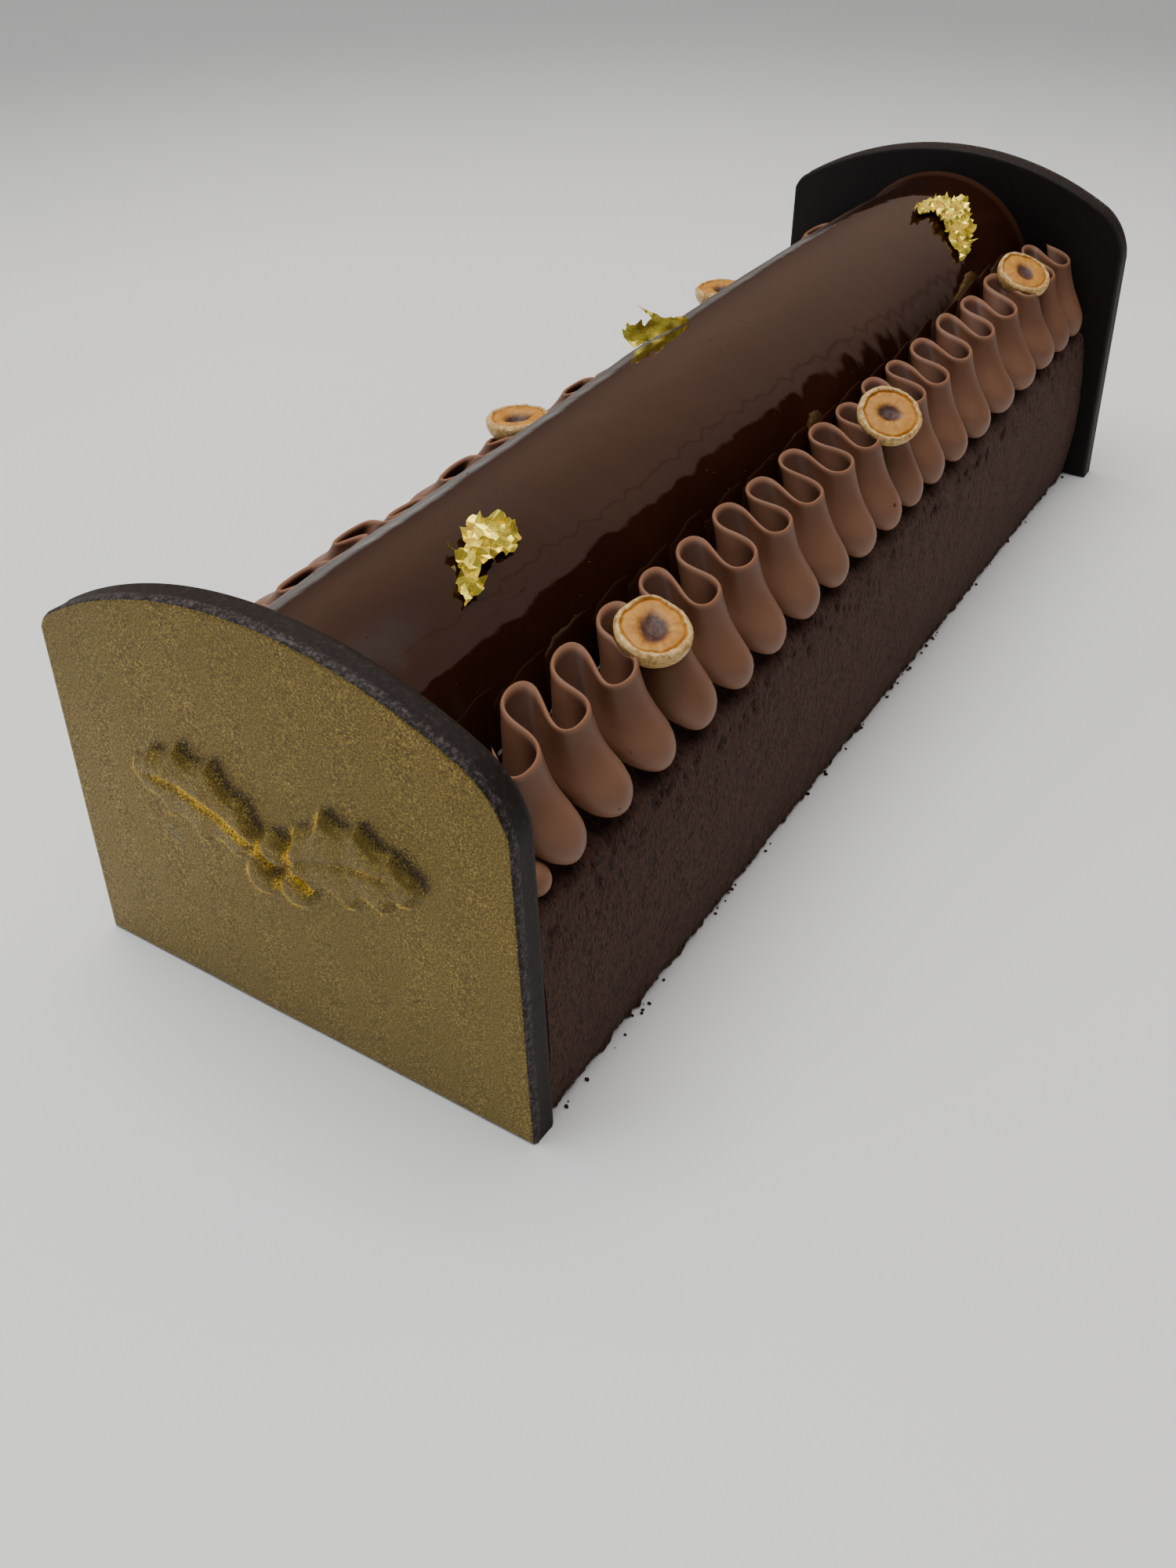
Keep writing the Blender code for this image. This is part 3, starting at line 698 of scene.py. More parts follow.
def block_half(share_along, shoulder_z):
    """Right half of the block's section from foot to seat, before it is roughened."""
    swell = BODY_BULGE * (1.0 + 0.35 * math.sin(2.3 * TURN * share_along))
    side_top = shoulder_z - SHOULDER_ROUND
    points = [(20.0 * MM, 0.0), (40.0 * MM, 0.0), (BODY_HALF - FOOT_ROUND, 0.0)]
    for i in range(SIDE_ROWS + 1):
        share = i / SIDE_ROWS
        side_x = BODY_HALF + swell * math.sin(math.pi * share) - BODY_LEAN * share ** 3
        points.append((side_x, mix(0.5 * MM, side_top, share)))
    for i in range(1, SHOULDER_ROWS + 1):
        angle = math.pi / 2 * i / SHOULDER_ROWS
        points.append((SHOULDER_X + (side_x - SHOULDER_X) * math.cos(angle),
                       side_top + SHOULDER_ROUND * math.sin(angle)))
    for i in range(1, TOP_ROWS + 1):
        points.append((mix(SHOULDER_X, SEAT_X, i / TOP_ROWS), mix(shoulder_z, SEAT_Z, i / TOP_ROWS)))
    return points


def velvet_point(x, y, z, shoulder_z):
    """A point of the block with the powder's unevenness added."""
    if z <= 0.0 or z >= SEAT_Z - 0.5 * MM:
        return (x, y, z)
    lumps = 0.22 * MM * rough(x * 0.4, y, z, 7 * MM, 4) + 0.12 * MM * rough(x, y, z * 0.55, 1.5 * MM, 2)
    low = 1 - smooth(0.5 * MM, 4.5 * MM, z)
    foot = low * MM * (1.3 * abs(rough(y, 3.0, z * 1.6, 3.2 * MM, 4)) - 0.45)
    pock = smooth(0.22, 0.6, rough(x, y * 1.3, z * 0.8, 2.6 * MM, 2))
    hollow = 0.75 * MM * pock * smooth(shoulder_z - 10 * MM, shoulder_z - 4 * MM, z)
    out = lumps + foot - hollow
    up = smooth(shoulder_z - SHOULDER_ROUND, shoulder_z, z)
    return (x + math.copysign(1.0, x) * out * (1 - 0.6 * up), y, z + out * up * 0.5)


rings = []
for i in range(STATIONS + 1):
    share = i / STATIONS
    shoulder_z = SHOULDER_Z - SHOULDER_FALL * share
    half = block_half(share, shoulder_z)
    rings.append([velvet_point(x, between_walls(x, z, share), z, shoulder_z)
                  for x, z in half + [(-x, z) for x, z in reversed(half)]])
block = make_piece("velvet_cake", loft(rings), velvet.material, 75)
seat(block, "velvet", "velvet_block")

# %% [markdown]
# ## The glazed log
#
# Mirror glaze is poured warm over the frozen log and sets as it runs down. It never sets quite
# flat: long ripples stay where it ran, it gathers in a bead against the plaques, and small bubbles
# remain. Those few tenths of a millimetre decide how the reflections bend, so they are made in the
# mesh, and the material only adds its clear depth.

# %% Mirror glaze
glaze = Finish("mirror_glaze", IOR=1.47)
marbling = glaze.grain(24 * MM, 4.0, 0.55, glaze.stretched(1.0, 0.45, 1.0), 0.8)
glaze_tone = glaze.colour(marbling, (0.30, (0.0170, 0.0046, 0.0016)), (0.55, (0.0240, 0.0066, 0.0022)),
                          (0.75, (0.036, 0.0105, 0.0042)))
glaze.feed("Base Color", glaze.blended(glaze.painted("bead"), glaze_tone, (0.045, 0.017, 0.008)))
glaze.feed("Roughness", 0.05 + glaze.painted("left_flank") * 0.36)
glaze.relief(glaze.grain(4.5 * MM, 3.0, 0.6), 0.05 * MM, 0.5)

# %% The log
LOG_AXIS_Z = 55.0 * MM
LOG_RADIUS = 27.6 * MM
LOG_SWELL = 1.6 * MM
LOG_SWELL_Y = 33.3 * MM
LOG_SWELL_REACH = 70.0 * MM
FRONT_BEAD = 1.5 * MM
FAR_BEAD = 1.3 * MM
RUN_Y = -104.0 * MM          # a thin run of glaze that set beside the first gold leaf
RUN_GIRTH = 24.8 * MM
LOG_SIDES = 190


def from_walls(y):
    """How far a point of the log's axis is from the front plaque and from the far one."""
    return y - front_wall(0), far_wall(0, LOG_AXIS_Z) - y


def log_radius(y):
    """The log's radius: it swells in the middle and dips just before each plaque."""
    from_front, from_far = from_walls(y)
    swell = LOG_SWELL * hump(y - LOG_SWELL_Y, LOG_SWELL_REACH)
    dips = 1.2 * MM * hump(from_front, 16 * MM) + 1.4 * MM * hump(from_far, 24 * MM)
    beads = FRONT_BEAD * math.exp(-from_front / (1.3 * MM)) + FAR_BEAD * math.exp(-from_far / (2.2 * MM))
    return LOG_RADIUS + swell - dips + beads


def ripple(angle, y):
    """How far the set glaze stands off the plain round."""
    flank = smooth(0.1, 0.9, abs(math.cos(angle)))
    girth = angle * LOG_RADIUS
    long_waves = 0.15 * MM * rough(girth, y * 0.75, 1.0, 21 * MM, 2)
    calmer = mix(1.0, 0.22, smooth(-60 * MM, 90 * MM, y))
    runs = (0.30 * MM * rough(girth * 0.6, y * 1.15, 5.0, 11 * MM, 2)
            + 0.060 * MM * rough(girth * 0.5, y * 1.2, 8.0, 5.5 * MM, 2))
    small = 0.018 * MM * rough(girth, y, 9.0, 3.2 * MM, 2)
    wander = 0.8 * MM * rough(0.0, y, 2.0, 5 * MM, 4)
    thread = hump(girth - RUN_GIRTH - wander, 0.35 * MM) * math.exp(-((y - RUN_Y) / (13 * MM)) ** 4)
    return long_waves + runs * calmer * flank + small + 0.09 * MM * thread


def round_the_log(radius, angle, y):
    return (radius * math.cos(angle), y, LOG_AXIS_Z + radius * math.sin(angle))


rings = []
glaze_numbers = {"bead": [], "left_flank": []}
for i in range(STATIONS + 1):
    share = denser_at_ends(i / STATIONS, 0.55)
    base_y = mix(front_wall(0) + CLEARANCE, far_wall(0, LOG_AXIS_Z) - CLEARANCE, share)
    plain = log_radius(base_y)
    below = math.asin((LOG_AXIS_Z - SEAT_Z - CLEARANCE) / plain)
    from_front, from_far = from_walls(base_y)
    calm = smooth(0.0, 6 * MM, min(from_front, from_far))
    ring = []
    for k in range(LOG_SIDES + 1):
        angle = mix(-below, math.pi + below, k / LOG_SIDES)
        x, _, z = round_the_log(plain + ripple(angle, base_y) * calm, angle, base_y)
        ring.append((x, between_walls(x, z, share), z))
        glaze_numbers["bead"].append(1 - smooth(1.2 * MM, 3.2 * MM, from_far))
        glaze_numbers["left_flank"].append(smooth(math.radians(107), math.radians(124), angle))
    rings.append(ring)
log_piece = make_piece("glazed_mousse", loft(rings), glaze.material, 70)
paint(log_piece, glaze_numbers)
seat(log_piece, "glaze", "glazed_log")

# %% [markdown]
# ## Piped ruffles
#
# The ganache is piped with a flat tip that swings to and fro while it moves along the log. What it
# leaves is one ribbon on a meandering path: its upper lip is thin, and its lower end piles up into a
# fat round tongue. That is a surface with a rule, so Geometry Nodes can make it. A flat grid has one
# direction along the meander and the other round the ribbon's section, and one long formula says
# where each of its points belongs. The inputs are what the hand decides: spacing, lean and unevenness.

# %% Sizes of a fold
CUP_HOLLOW = 0.6 * MM
LOOP_BOW = 1.2 * MM
RIM_OVERHANG = 0.165         # from here to the half widths: shares of one fold's spacing
TIP_OVERHANG = 0.045
WIDENING = 0.012
RIM_HALF_WIDTH = 0.030
WAIST_HALF_WIDTH = 0.088
TIP_HALF_WIDTH = 0.252
STATIONS_PER_FOLD = 46
SECTION_POINTS = 44
NUTS_RIGHT = ((37.5, -93.1, 68.9), (38.5, 11.5, 69.0), (35.2, 113.1, 69.2))
NUTS_LEFT = ((-35.2, -26.7, 66.4), (-34.9, 73.1, 64.9))
NUT_RADIUS = 7.3 * MM
NUT_DEPTH = 5.6 * MM
NUT_TILT_RIGHT = math.radians(27)
NUT_TILT_LEFT = math.radians(4)

WAVES = 3
WAVE_INPUTS = tuple("%s %d" % (name, k) for k in range(1, WAVES + 1) for name in ("Wave", "Length", "Phase"))
SHAPE_INPUTS = ("Cup rim x", "Cup rim z", "Cup tip x", "Cup tip z", "Loop rim x", "Loop rim z",
                "Loop tip x", "Loop tip z", "Cup lean", "Cup lean growth", "Loop lean",
                "Loop lean swing", "Rim fall", "Tip fall", "Lift")
RECIPE = ("Side", "Start", "Pitch") + WAVE_INPUTS + SHAPE_INPUTS


# %% The node group that places one point of the ribbon
def new_tree(name, inputs, outputs):
    """A Geometry Nodes tree with these sockets, and its inputs as they are seen from inside."""
    tree = bpy.data.node_groups.new(name, "GeometryNodeTree")
    for way, sockets in (("INPUT", inputs), ("OUTPUT", outputs)):
        for label, kind in sockets.items():
            tree.interface.new_socket(label, in_out=way, socket_type="NodeSocket" + kind)
    return tree, add_node(tree, "NodeGroupInput").outputs


def close_tree(tree, mesh, material):
    """End a tree with a real mesh in one material."""
    real = add_node(tree, "GeometryNodeRealizeInstances", {"Geometry": mesh}).outputs[0]
    coated = add_node(tree, "GeometryNodeSetMaterial", {"Geometry": real, "Material": material})
    add_node(tree, "NodeGroupOutput", {"Geometry": coated.outputs[0]})
    return tree


def vector_node(tree, operation, *values):
    """One Vector Math node, fed with sockets or triples."""
    inputs = dict(enumerate(values))
    return add_node(tree, "ShaderNodeVectorMath", inputs, operation=operation).outputs["Vector"]


def fold_group():
    """Where the ribbon's middle surface lies at a fold number and a height of 0 (rim) to 1 (tip)."""
    names = ("Fold", "Height") + RECIPE
    tree, given = new_tree("place_on_fold", dict.fromkeys(names, "Float"),
                           {"Place": "Vector", "Local pitch": "Float"})
    value = {name: Number(tree, given[name]) for name in names}
    fold = value["Fold"]
    height = value["Height"]
    pitch = value["Pitch"]
    angle = fold * TURN
    cup = 0.5 + 0.5 * cosine(angle)
    bow = sine(height * math.pi)
    slack = 1 - height

    def lower_y(at):
        y = value["Start"] + pitch * at
        for k in range(1, WAVES + 1):
            y = y + value["Wave %d" % k] * sine(at * TURN / value["Length %d" % k] + value["Phase %d" % k])
        return y

    def down(name):
        """The recipe's value between rim and tip at this height."""
        return mix(value[name % "rim"], value[name % "tip"], height)

    cup_x = down("Cup %s x") - CUP_HOLLOW * bow
    loop_x = down("Loop %s x") + LOOP_BOW * bow
    fall = mix(value["Rim fall"], value["Tip fall"], height)
    rise = value["Lift"] * sine(fold * 2.4 + 0.8) * slack - fold * fall
    overhang = mix(TIP_OVERHANG, RIM_OVERHANG, slack * slack) * sine(angle * 2)
    widening = WIDENING * slack * slack * sine(angle)
    growing = at_most(at_least(fold / 8, 0.0), 1.0)
    cup_lean = mix(value["Cup lean"], value["Cup lean growth"], growing) * slack
    loop_lean = value["Loop lean"] + value["Loop lean swing"] * cosine(fold * (math.pi / 8.3))
    y = lower_y(fold) + pitch * (overhang + widening) + cup_lean + loop_lean * (1 - cup) * raised(slack, 3.0)
    place = add_node(tree, "ShaderNodeCombineXYZ", {
        "X": value["Side"] * mix(loop_x, cup_x, cup), "Y": y,
        "Z": mix(down("Loop %s z"), down("Cup %s z"), cup) + rise})
    add_node(tree, "NodeGroupOutput", {
        "Place": place.outputs[0], "Local pitch": lower_y(fold + 0.5) - lower_y(fold - 0.5)})
    return tree


place_on_fold = fold_group()
print("the fold formula takes %d nodes" % len(place_on_fold.nodes))


# %% The ribbon tree
def ribbon_tree(stations):
    """A grid bent into a meandering ribbon."""
    sockets = dict.fromkeys(("First fold", "Last fold") + RECIPE, "Float")
    tree, given = new_tree("piped_ribbon", {**sockets, "Ganache": "Material"}, {"Geometry": "Geometry"})
    taken = {name: Number(tree, given[name]) for name in sockets}
    first = taken["First fold"]
    last = taken["Last fold"]
    side = taken["Side"]
    grid = add_node(tree, "GeometryNodeMeshGrid", {
        "Size X": 1.0, "Size Y": 1.0, "Vertices X": stations, "Vertices Y": SECTION_POINTS + 1})
    on_grid = axes_of(tree, add_node(tree, "GeometryNodeInputPosition").outputs[0])
    along = on_grid[0] + 0.5
    theta = (on_grid[1] + 0.5) * TURN

    # the ribbon's ends draw in to a blunt round, over about a tenth of a fold
    span = last - first
    to_end = sum_node("MINIMUM", along * span, (1 - along) * span)
    nearness = at_most(to_end / 0.1, 1.0)
    end_round = root(at_least(1 - (1 - nearness) * (1 - nearness), 0.0004))
    fold = mix(first, last, along)
    height = (0.5 - 0.5 * cosine(theta)) * (0.9 + 0.1 * end_round)

    # the middle surface here, just before and just after gives the way through the ribbon
    step = 0.02
    groups = [add_node(tree, "GeometryNodeGroup",
                       {"Fold": fold + shift, "Height": height, **{name: given[name] for name in RECIPE}},
                       node_tree=place_on_fold) for shift in (0.0, -step, step)]
    middle, before, after = (group.outputs["Place"] for group in groups)
    fall = add_node(tree, "ShaderNodeCombineXYZ", {
        "X": side * (taken["Cup tip x"] - taken["Cup rim x"]), "Z": taken["Cup tip z"] - taken["Cup rim z"]})
    run = vector_node(tree, "SUBTRACT", after, before)
    through = vector_node(tree, "NORMALIZE", vector_node(tree, "CROSS_PRODUCT", run, fall.outputs[0]))

    # half thickness: a thin rounded lip, a waist, and a fat round tip
    pitch = Number(tree, groups[0].outputs["Local pitch"])
    thickness = RIM_HALF_WIDTH + eased(height, 0.0, 0.40) * (WAIST_HALF_WIDTH - RIM_HALF_WIDTH)
    thickness = thickness + eased(height, 0.26, 0.84) * (TIP_HALF_WIDTH - WAIST_HALF_WIDTH)
    lip = root(at_least(1 - raised(at_least(1 - height / 0.035, 0.0), 2.0), 0.0))
    toe = root(at_least(1 - raised(at_least((height - 0.72) / 0.28, 0.0), 2.0), 0.0))
    outer = sign(sine(theta)) * -1.0
    facing_cup = outer * cosine(fold * TURN)
    reach = thickness * pitch * lip * toe * end_round * (0.92 - 0.17 * facing_cup) * outer * side
    offset = add_node(tree, "ShaderNodeVectorMath", {0: through, "Scale": reach}, operation="SCALE")
    place = vector_node(tree, "ADD", middle, offset.outputs["Vector"])

    # a hand never pipes two folds alike
    tremble = add_node(tree, "ShaderNodeTexNoise", {"Vector": place, "Scale": 1 / (18 * MM), "Detail": 2.0})
    centred = vector_node(tree, "SUBTRACT", tremble.outputs["Color"], (0.5, 0.5, 0.5))
    shaken = vector_node(tree, "MULTIPLY", centred, in_mm(1.1, 1.6, 1.3))

    mesh = grid.outputs["Mesh"]
    for name, number in (("down_the_fold", height), ("hollow_side", 0.5 + 0.5 * facing_cup)):
        mesh = add_node(tree, "GeometryNodeStoreNamedAttribute",
                        {"Geometry": mesh, "Name": name, "Value": number},
                        data_type="FLOAT", domain="POINT").outputs[0]
    moved = add_node(tree, "GeometryNodeSetPosition", {
        "Geometry": mesh, "Position": vector_node(tree, "ADD", place, shaken)})
    weld = add_node(tree, "GeometryNodeMergeByDistance", {
        "Geometry": moved.outputs[0], "Distance": 0.004 * MM})
    return close_tree(tree, weld.outputs[0], given["Ganache"])


def grown(name, tree, start=None, **inputs):
    """Run a Geometry Nodes tree on a mesh, or on an empty one, and return the plain mesh it makes."""
    holder = show(name + "_holder", start or bpy.data.meshes.new(name + "_holder"))
    modifier = holder.modifiers.new("grow", "NODES")
    modifier.node_group = tree
    for item in tree.interface.items_tree:
        if item.item_type == "SOCKET" and item.in_out == "INPUT" and item.name in inputs:
            modifier[item.identifier] = inputs[item.name]
    bpy.context.view_layer.update()
    evaluated = holder.evaluated_get(bpy.context.evaluated_depsgraph_get())
    data = bpy.data.meshes.new_from_object(evaluated)
    bpy.data.objects.remove(holder)
    data.name = name
    return data


# %% Satin ganache
ganache = Finish("milk_ganache", Specular_IOR_Level=0.28, Subsurface_Weight=0.35,
                 Subsurface_Scale=0.0020, Subsurface_Radius=(1.0, 0.42, 0.25))
down = ganache.painted("down_the_fold")
hollow_side = ganache.painted("hollow_side")
cream = ganache.colour(ganache.grain(9 * MM, 3.0), (0.3, (0.188, 0.085, 0.048)), (0.7, (0.232, 0.108, 0.062)))
# darker up towards the rim, lighter down at the tongues
tone = ganache.blended(eased(down, 0.05, 0.75, 0.55, 0.0), cream, (0.098, 0.035, 0.0165))
# painted highlight: a lighter line along the thin lip of each fold
lit_lip = ganache.blended(eased(down, 0.015, 0.07, 0.55, 0.0), tone, (0.30, 0.150, 0.085))
# painted shade: the inner side of each fold is darker, most just below the lip and less down at the tongues
painted_cup_shade = eased(hollow_side, 0.40, 0.85) * eased(down, 0.02, 0.09) * eased(down, 0.45, 1.0, 0.9, 0.4)
with_cup_shade = ganache.blended(painted_cup_shade, lit_lip, (0.044, 0.0130, 0.0052))
# air holes: the bump dents them, and their dark colour is painted shade in the hollows
air_cells = ganache.cells(4.8 * MM) + ganache.grain(3 * MM, 1.0) * 0.5
holes = eased(air_cells, 0.225, 0.26, 1.0, 0.0) * eased(down, 0.55, 0.75)
ganache.feed("Base Color", ganache.blended(holes * 0.9, with_cup_shade, (0.018, 0.007, 0.004)))
ganache.feed("Roughness", eased(hollow_side, 0.4, 0.9, 0.46, 0.62))
ganache.relief(ganache.grain(0.9 * MM, 3.0) * 0.2 - holes, 0.22 * MM, 0.5)


# %% Press nuts and plaques into the soft ganache
def nut_frame(place):
    """Placement of a half nut: its cut face in the local XY plane, tilted outwards."""
    x, y, z = in_mm(*place)
    tilt = NUT_TILT_RIGHT if x > 0 else -NUT_TILT_LEFT
    return Matrix.Translation((x, y, z)) @ Matrix.Rotation(tilt, 4, "Y")


def pressed(point, nuts):
    """A point of the ganache after the nuts and the plaques have been pushed against it."""
    for place in nuts:
        frame_of_nut = nut_frame(place)
        local = frame_of_nut.inverted() @ point
        away = math.hypot(local.x, local.y) / (NUT_RADIUS * 1.04)
        if away < 1.0 and local.z > -NUT_DEPTH * 1.1:
            bowl = -NUT_DEPTH * 1.08 * math.sqrt(1 - away * away)
            if local.z > bowl:
                local.z = bowl
                point = frame_of_nut @ local
    y = max(point.y, front_wall(point.x) + CLEARANCE)
    return Vector((point.x, min(y, far_wall(point.x, point.z) - CLEARANCE), point.z))


def piped_ruffle(name, node, first, last, nuts, recipe, blobs=()):
    """Pipe one ruffle. Blobs are squeezed-out lumps, each a place and a size in mm."""
    stations = round((last - first) * STATIONS_PER_FOLD) + 1
    data = grown(name, ribbon_tree(stations), **{"First fold": first, "Last fold": last,
                                               "Ganache": ganache.material}, **recipe)
    mesh = bmesh.new()
    mesh.from_mesh(data)
    for vertex in mesh.verts:
        vertex.co = pressed(vertex.co, nuts)
    bmesh.ops.holes_fill(mesh, edges=[edge for edge in mesh.edges if edge.is_boundary], sides=0)
    for place, size in blobs:
        stand = Matrix.Translation(in_mm(*place)) @ Matrix.Diagonal((*in_mm(*size), 1.0))
        made = bmesh.ops.create_uvsphere(mesh, u_segments=40, v_segments=24, radius=1.0, matrix=stand)
        for vertex in made["verts"]:
            vertex.co = pressed(vertex.co, nuts)
    bmesh.ops.recalc_face_normals(mesh, faces=mesh.faces)
    for face in mesh.faces:
        face.material_index = 0
    mesh.to_mesh(data)
    mesh.free()
    data.materials.clear()
    data.materials.append(ganache.material)
    data.shade_smooth()
    seat(show(name, data), "ganache", node)


def recipe(side, start, pitch, waves, *shape):
    """Named inputs for the ribbon tree. Lengths are in mm, and shape follows SHAPE_INPUTS."""
    numbers = {"Side": side, "Start": start * MM, "Pitch": pitch * MM}
    for k, (size, length, phase) in enumerate(waves, start=1):
        numbers.update({"Wave %d" % k: size * MM, "Length %d" % k: length, "Phase %d" % k: phase})
    numbers.update(zip(SHAPE_INPUTS, in_mm(*shape)))
    return numbers


right = recipe(1.0, -131.7, 14.85, ((-2.25, 36.2, 0.0), (2.2, 9.45, -2.67), (1.35, 7.25, -0.49)),
               39.9, 67.2, 45.3, 48.3, 26.9, 69.9, 34.0, 55.1, -3.5, 0.85, 4.7, 2.4, 0.10, 0.14, 0.4)
left = recipe(-1.0, -140.7, 17.3, ((3.2, 18.0, 0.0), (0.7, 5.3, 0.6), (0.0, 1.0, 0.0)),
              38.2, 62.6, 45.3, 49.3, 28.5, 66.8, 34.2, 54.6, 1.0, 3.0, -0.5, 2.0, 0.13, 0.14, 1.3)
piped_ruffle("ruffle_right", "piping_right", -0.27, 18.3, NUTS_RIGHT, right,
             [((42.3, -141.2, 49.2), (3.6, 3.3, 3.1))])
piped_ruffle("ruffle_left", "piping_left", -0.2, 16.42, NUTS_LEFT, left)

# %% [markdown]
# ## Half hazelnuts
#
# Roasted hazelnuts are split and laid in the soft ganache with the cut face up. What shows is a tan
# face with a dark hollow in the middle, and round it the papery skin, which stands up a little and
# has flaked. Each nut is a lathe shape whose outline isn't quite round. The face, the hollow and the
# skin are all one surface, and three painted numbers tell the material where each begins.

# %% Roasted nut
nutmeat = Finish("roasted_hazelnut", Roughness=0.48, Specular_IOR_Level=0.4, Subsurface_Weight=0.15,
                 Subsurface_Scale=0.0012, Subsurface_Radius=(1.0, 0.5, 0.2))
meat = nutmeat.colour(nutmeat.painted("streak"), (0.2, (0.36, 0.135, 0.013)), (0.5, (0.53, 0.220, 0.024)),
                      (0.85, (0.67, 0.34, 0.052)))
core = nutmeat.colour(nutmeat.grain(1.2 * MM, 3.0), (0.35, (0.035, 0.010, 0.007)),
                      (0.7, (0.110, 0.036, 0.021)))
in_hollow = nutmeat.painted("hollow") + nutmeat.grain(0.8 * MM, 3.0) * 0.3 - 0.15
cored = nutmeat.blended(eased(in_hollow, 0.15, 0.80), meat, core)
flakes = nutmeat.grain(1.1 * MM, 4.0, 0.65, None, 0.5)
skin_tone = nutmeat.colour(flakes, (0.30, (0.30, 0.140, 0.040)), (0.46, (0.56, 0.330, 0.105)),
                           (0.70, (0.84, 0.62, 0.29)))
on_skin = nutmeat.painted("skin") + (flakes - 0.5) * 0.5
nutmeat.feed("Base Color", nutmeat.blended(eased(on_skin, 0.35, 0.6), cored, skin_tone))
nutmeat.relief(nutmeat.grain(0.5 * MM, 3.0, 0.6), 0.12 * MM, 0.6)

# %% Five nuts
# profile: share of the outline's radius, height in mm
NUT_DOME = ((1.0, -0.7), (0.995, -1.3), (0.97, -2.1), (0.92, -2.9), (0.84, -3.7), (0.72, -4.4),
            (0.56, -4.95), (0.38, -5.3), (0.2, -5.45), (0.02, -5.5))
FACE_RINGS = 48
NUT_SIDES = 132
# spin, how pointed, hollow's half width and half length, hollow's depth in mm, and how many degrees
# the face tips towards the front and back from the piping's side
NUT_LOOKS = ((2.2, 0.16, 0.46, 0.60, 1.0, 12, -15), (0.4, 0.05, 0.36, 0.46, 0.8, 26, -6),
             (2.6, 0.08, 0.38, 0.46, 0.9, 14, -6), (0.9, 0.07, 0.42, 0.52, 2.0, 0, 0),
             (2.1, 0.06, 0.36, 0.50, 1.7, 0, 0))


def nut_piece(number, place, look):
    spin, pointed, half_wide, half_long, hollow_depth, forwards, inwards = look
    seed = 10.0 * number
    rings = []
    numbers = {"hollow": [], "skin": [], "streak": []}
    profile = [(*row, False) for row in NUT_DOME[::-1]]
    profile += [(step / FACE_RINGS, 0.0, True) for step in range(FACE_RINGS, 0, -1)]
    for share, height, is_face in profile:
        ring = []
        for k in range(NUT_SIDES):
            theta = TURN * k / NUT_SIDES
            cos, sin = math.cos(theta), math.sin(theta)
            x, y = share * cos, share * sin
            along, across = math.sin(theta - spin), math.cos(theta - spin)
            outline = (1 + 0.025 * math.cos(2 * theta + 0.7) + 0.02 * rough(cos, sin, seed, 0.8, 2)
                       + pointed * hump(math.remainder(theta - spin, TURN), 0.42))
            radius = NUT_RADIUS * 0.975 * outline * share
            oval = (math.hypot(share * along / half_wide, share * across / half_long)
                    + 0.10 * rough(x, y, seed + 3, 0.5, 2))
            inside = 1 - smooth(0.25, 1.35, oval) if is_face else 0.0
            flaky = rough(x, y, seed + 5, 0.22)
            skin = 1.0
            z = height + 0.10 * flaky
            if is_face:
                skin_from = 0.845 + 0.05 * rough(cos, sin, seed + 7, 0.45) + 0.03 * across
                skin = smooth(skin_from - 0.012, skin_from + 0.012, share)
                z = 0.35 * (1 - share ** 2) + 0.10 * rough(x, y, seed, 0.5)
                z -= hollow_depth * inside ** 1.4 + 0.42 * hump(share - skin_from + 0.035, 0.030)
                z += skin * (0.32 + 0.30 * flaky - 0.5 * smooth(0.93, 1.0, share))
            ring.append((radius * cos, radius * sin, z * MM))
            numbers["hollow"].append(inside)
            numbers["skin"].append(skin)
            numbers["streak"].append(0.5 + 0.3 * rough(2.4 * cos, 2.4 * sin, share * 1.6 + seed, 0.6))
        rings.append(ring)
    mesh = loft(rings)
    mesh.transform(nut_frame(place) @ Matrix.Rotation(math.radians(forwards), 4, "X")
                   @ Matrix.Rotation(math.radians(inwards), 4, "Y"))
    piece = make_piece("half_hazelnut_%d" % number, mesh, nutmeat.material, 60)
    paint(piece, numbers)
    seat(piece, "hazelnut", "hazelnut_%d" % number)


for number, (place, look) in enumerate(zip(NUTS_RIGHT + NUTS_LEFT, NUT_LOOKS), start=1):
    nut_piece(number, place, look)

# %% [markdown]
# ## Gold leaf
#
# Edible gold leaf is beaten so thin that it can't be picked up flat. It crumples as soon as it
# touches the glaze, with sharp folds and corners that stand up. Each scrap starts as an outline laid
# on the log. It is filled with small triangles, lifted along ridges of noise and given a thickness,
# so that it is a closed sheet with crisp creases that catch the light.

# %% Gold leaf metal
foil = Finish("gold_leaf", Metallic=0.75, Roughness=0.22)
# the colour follows the bump's noise: darker olive in its low parts as painted shade, paler on its ridges as
# painted highlight
creases = foil.grain(0.9 * MM, 4.0, 0.7, None, 1.2)
foil.feed("Base Color", foil.colour(creases, (0.32, (0.58, 0.37, 0.022)), (0.48, (0.97, 0.74, 0.075)),
                                    (0.7, (1.0, 0.90, 0.20))))
foil.relief(creases, 0.10 * MM, 0.6)


# %% Three scraps
INSIDE_EDGES = 1             # the triangulation keeps only what lies within the given edges


def sides_of(outline):
    """Each corner of a closed outline with the next one."""
    return zip(outline, outline[1:] + outline[:1])


def torn(outline, step, seed):
    """The outline with points added along it, each a little off the line as a torn edge is."""
    points = []
    for (ax, ay), (bx, by) in sides_of(outline):
        length = math.hypot(bx - ax, by - ay)
        count = max(1, round(length / step))
        for k in range(count):
            x, y = mix(ax, bx, k / count), mix(ay, by, k / count)
            off = 0.32 * rough(x, y, seed, 1.1)
            points.append((x - off * (by - ay) / length, y + off * (bx - ax) / length))
    return points


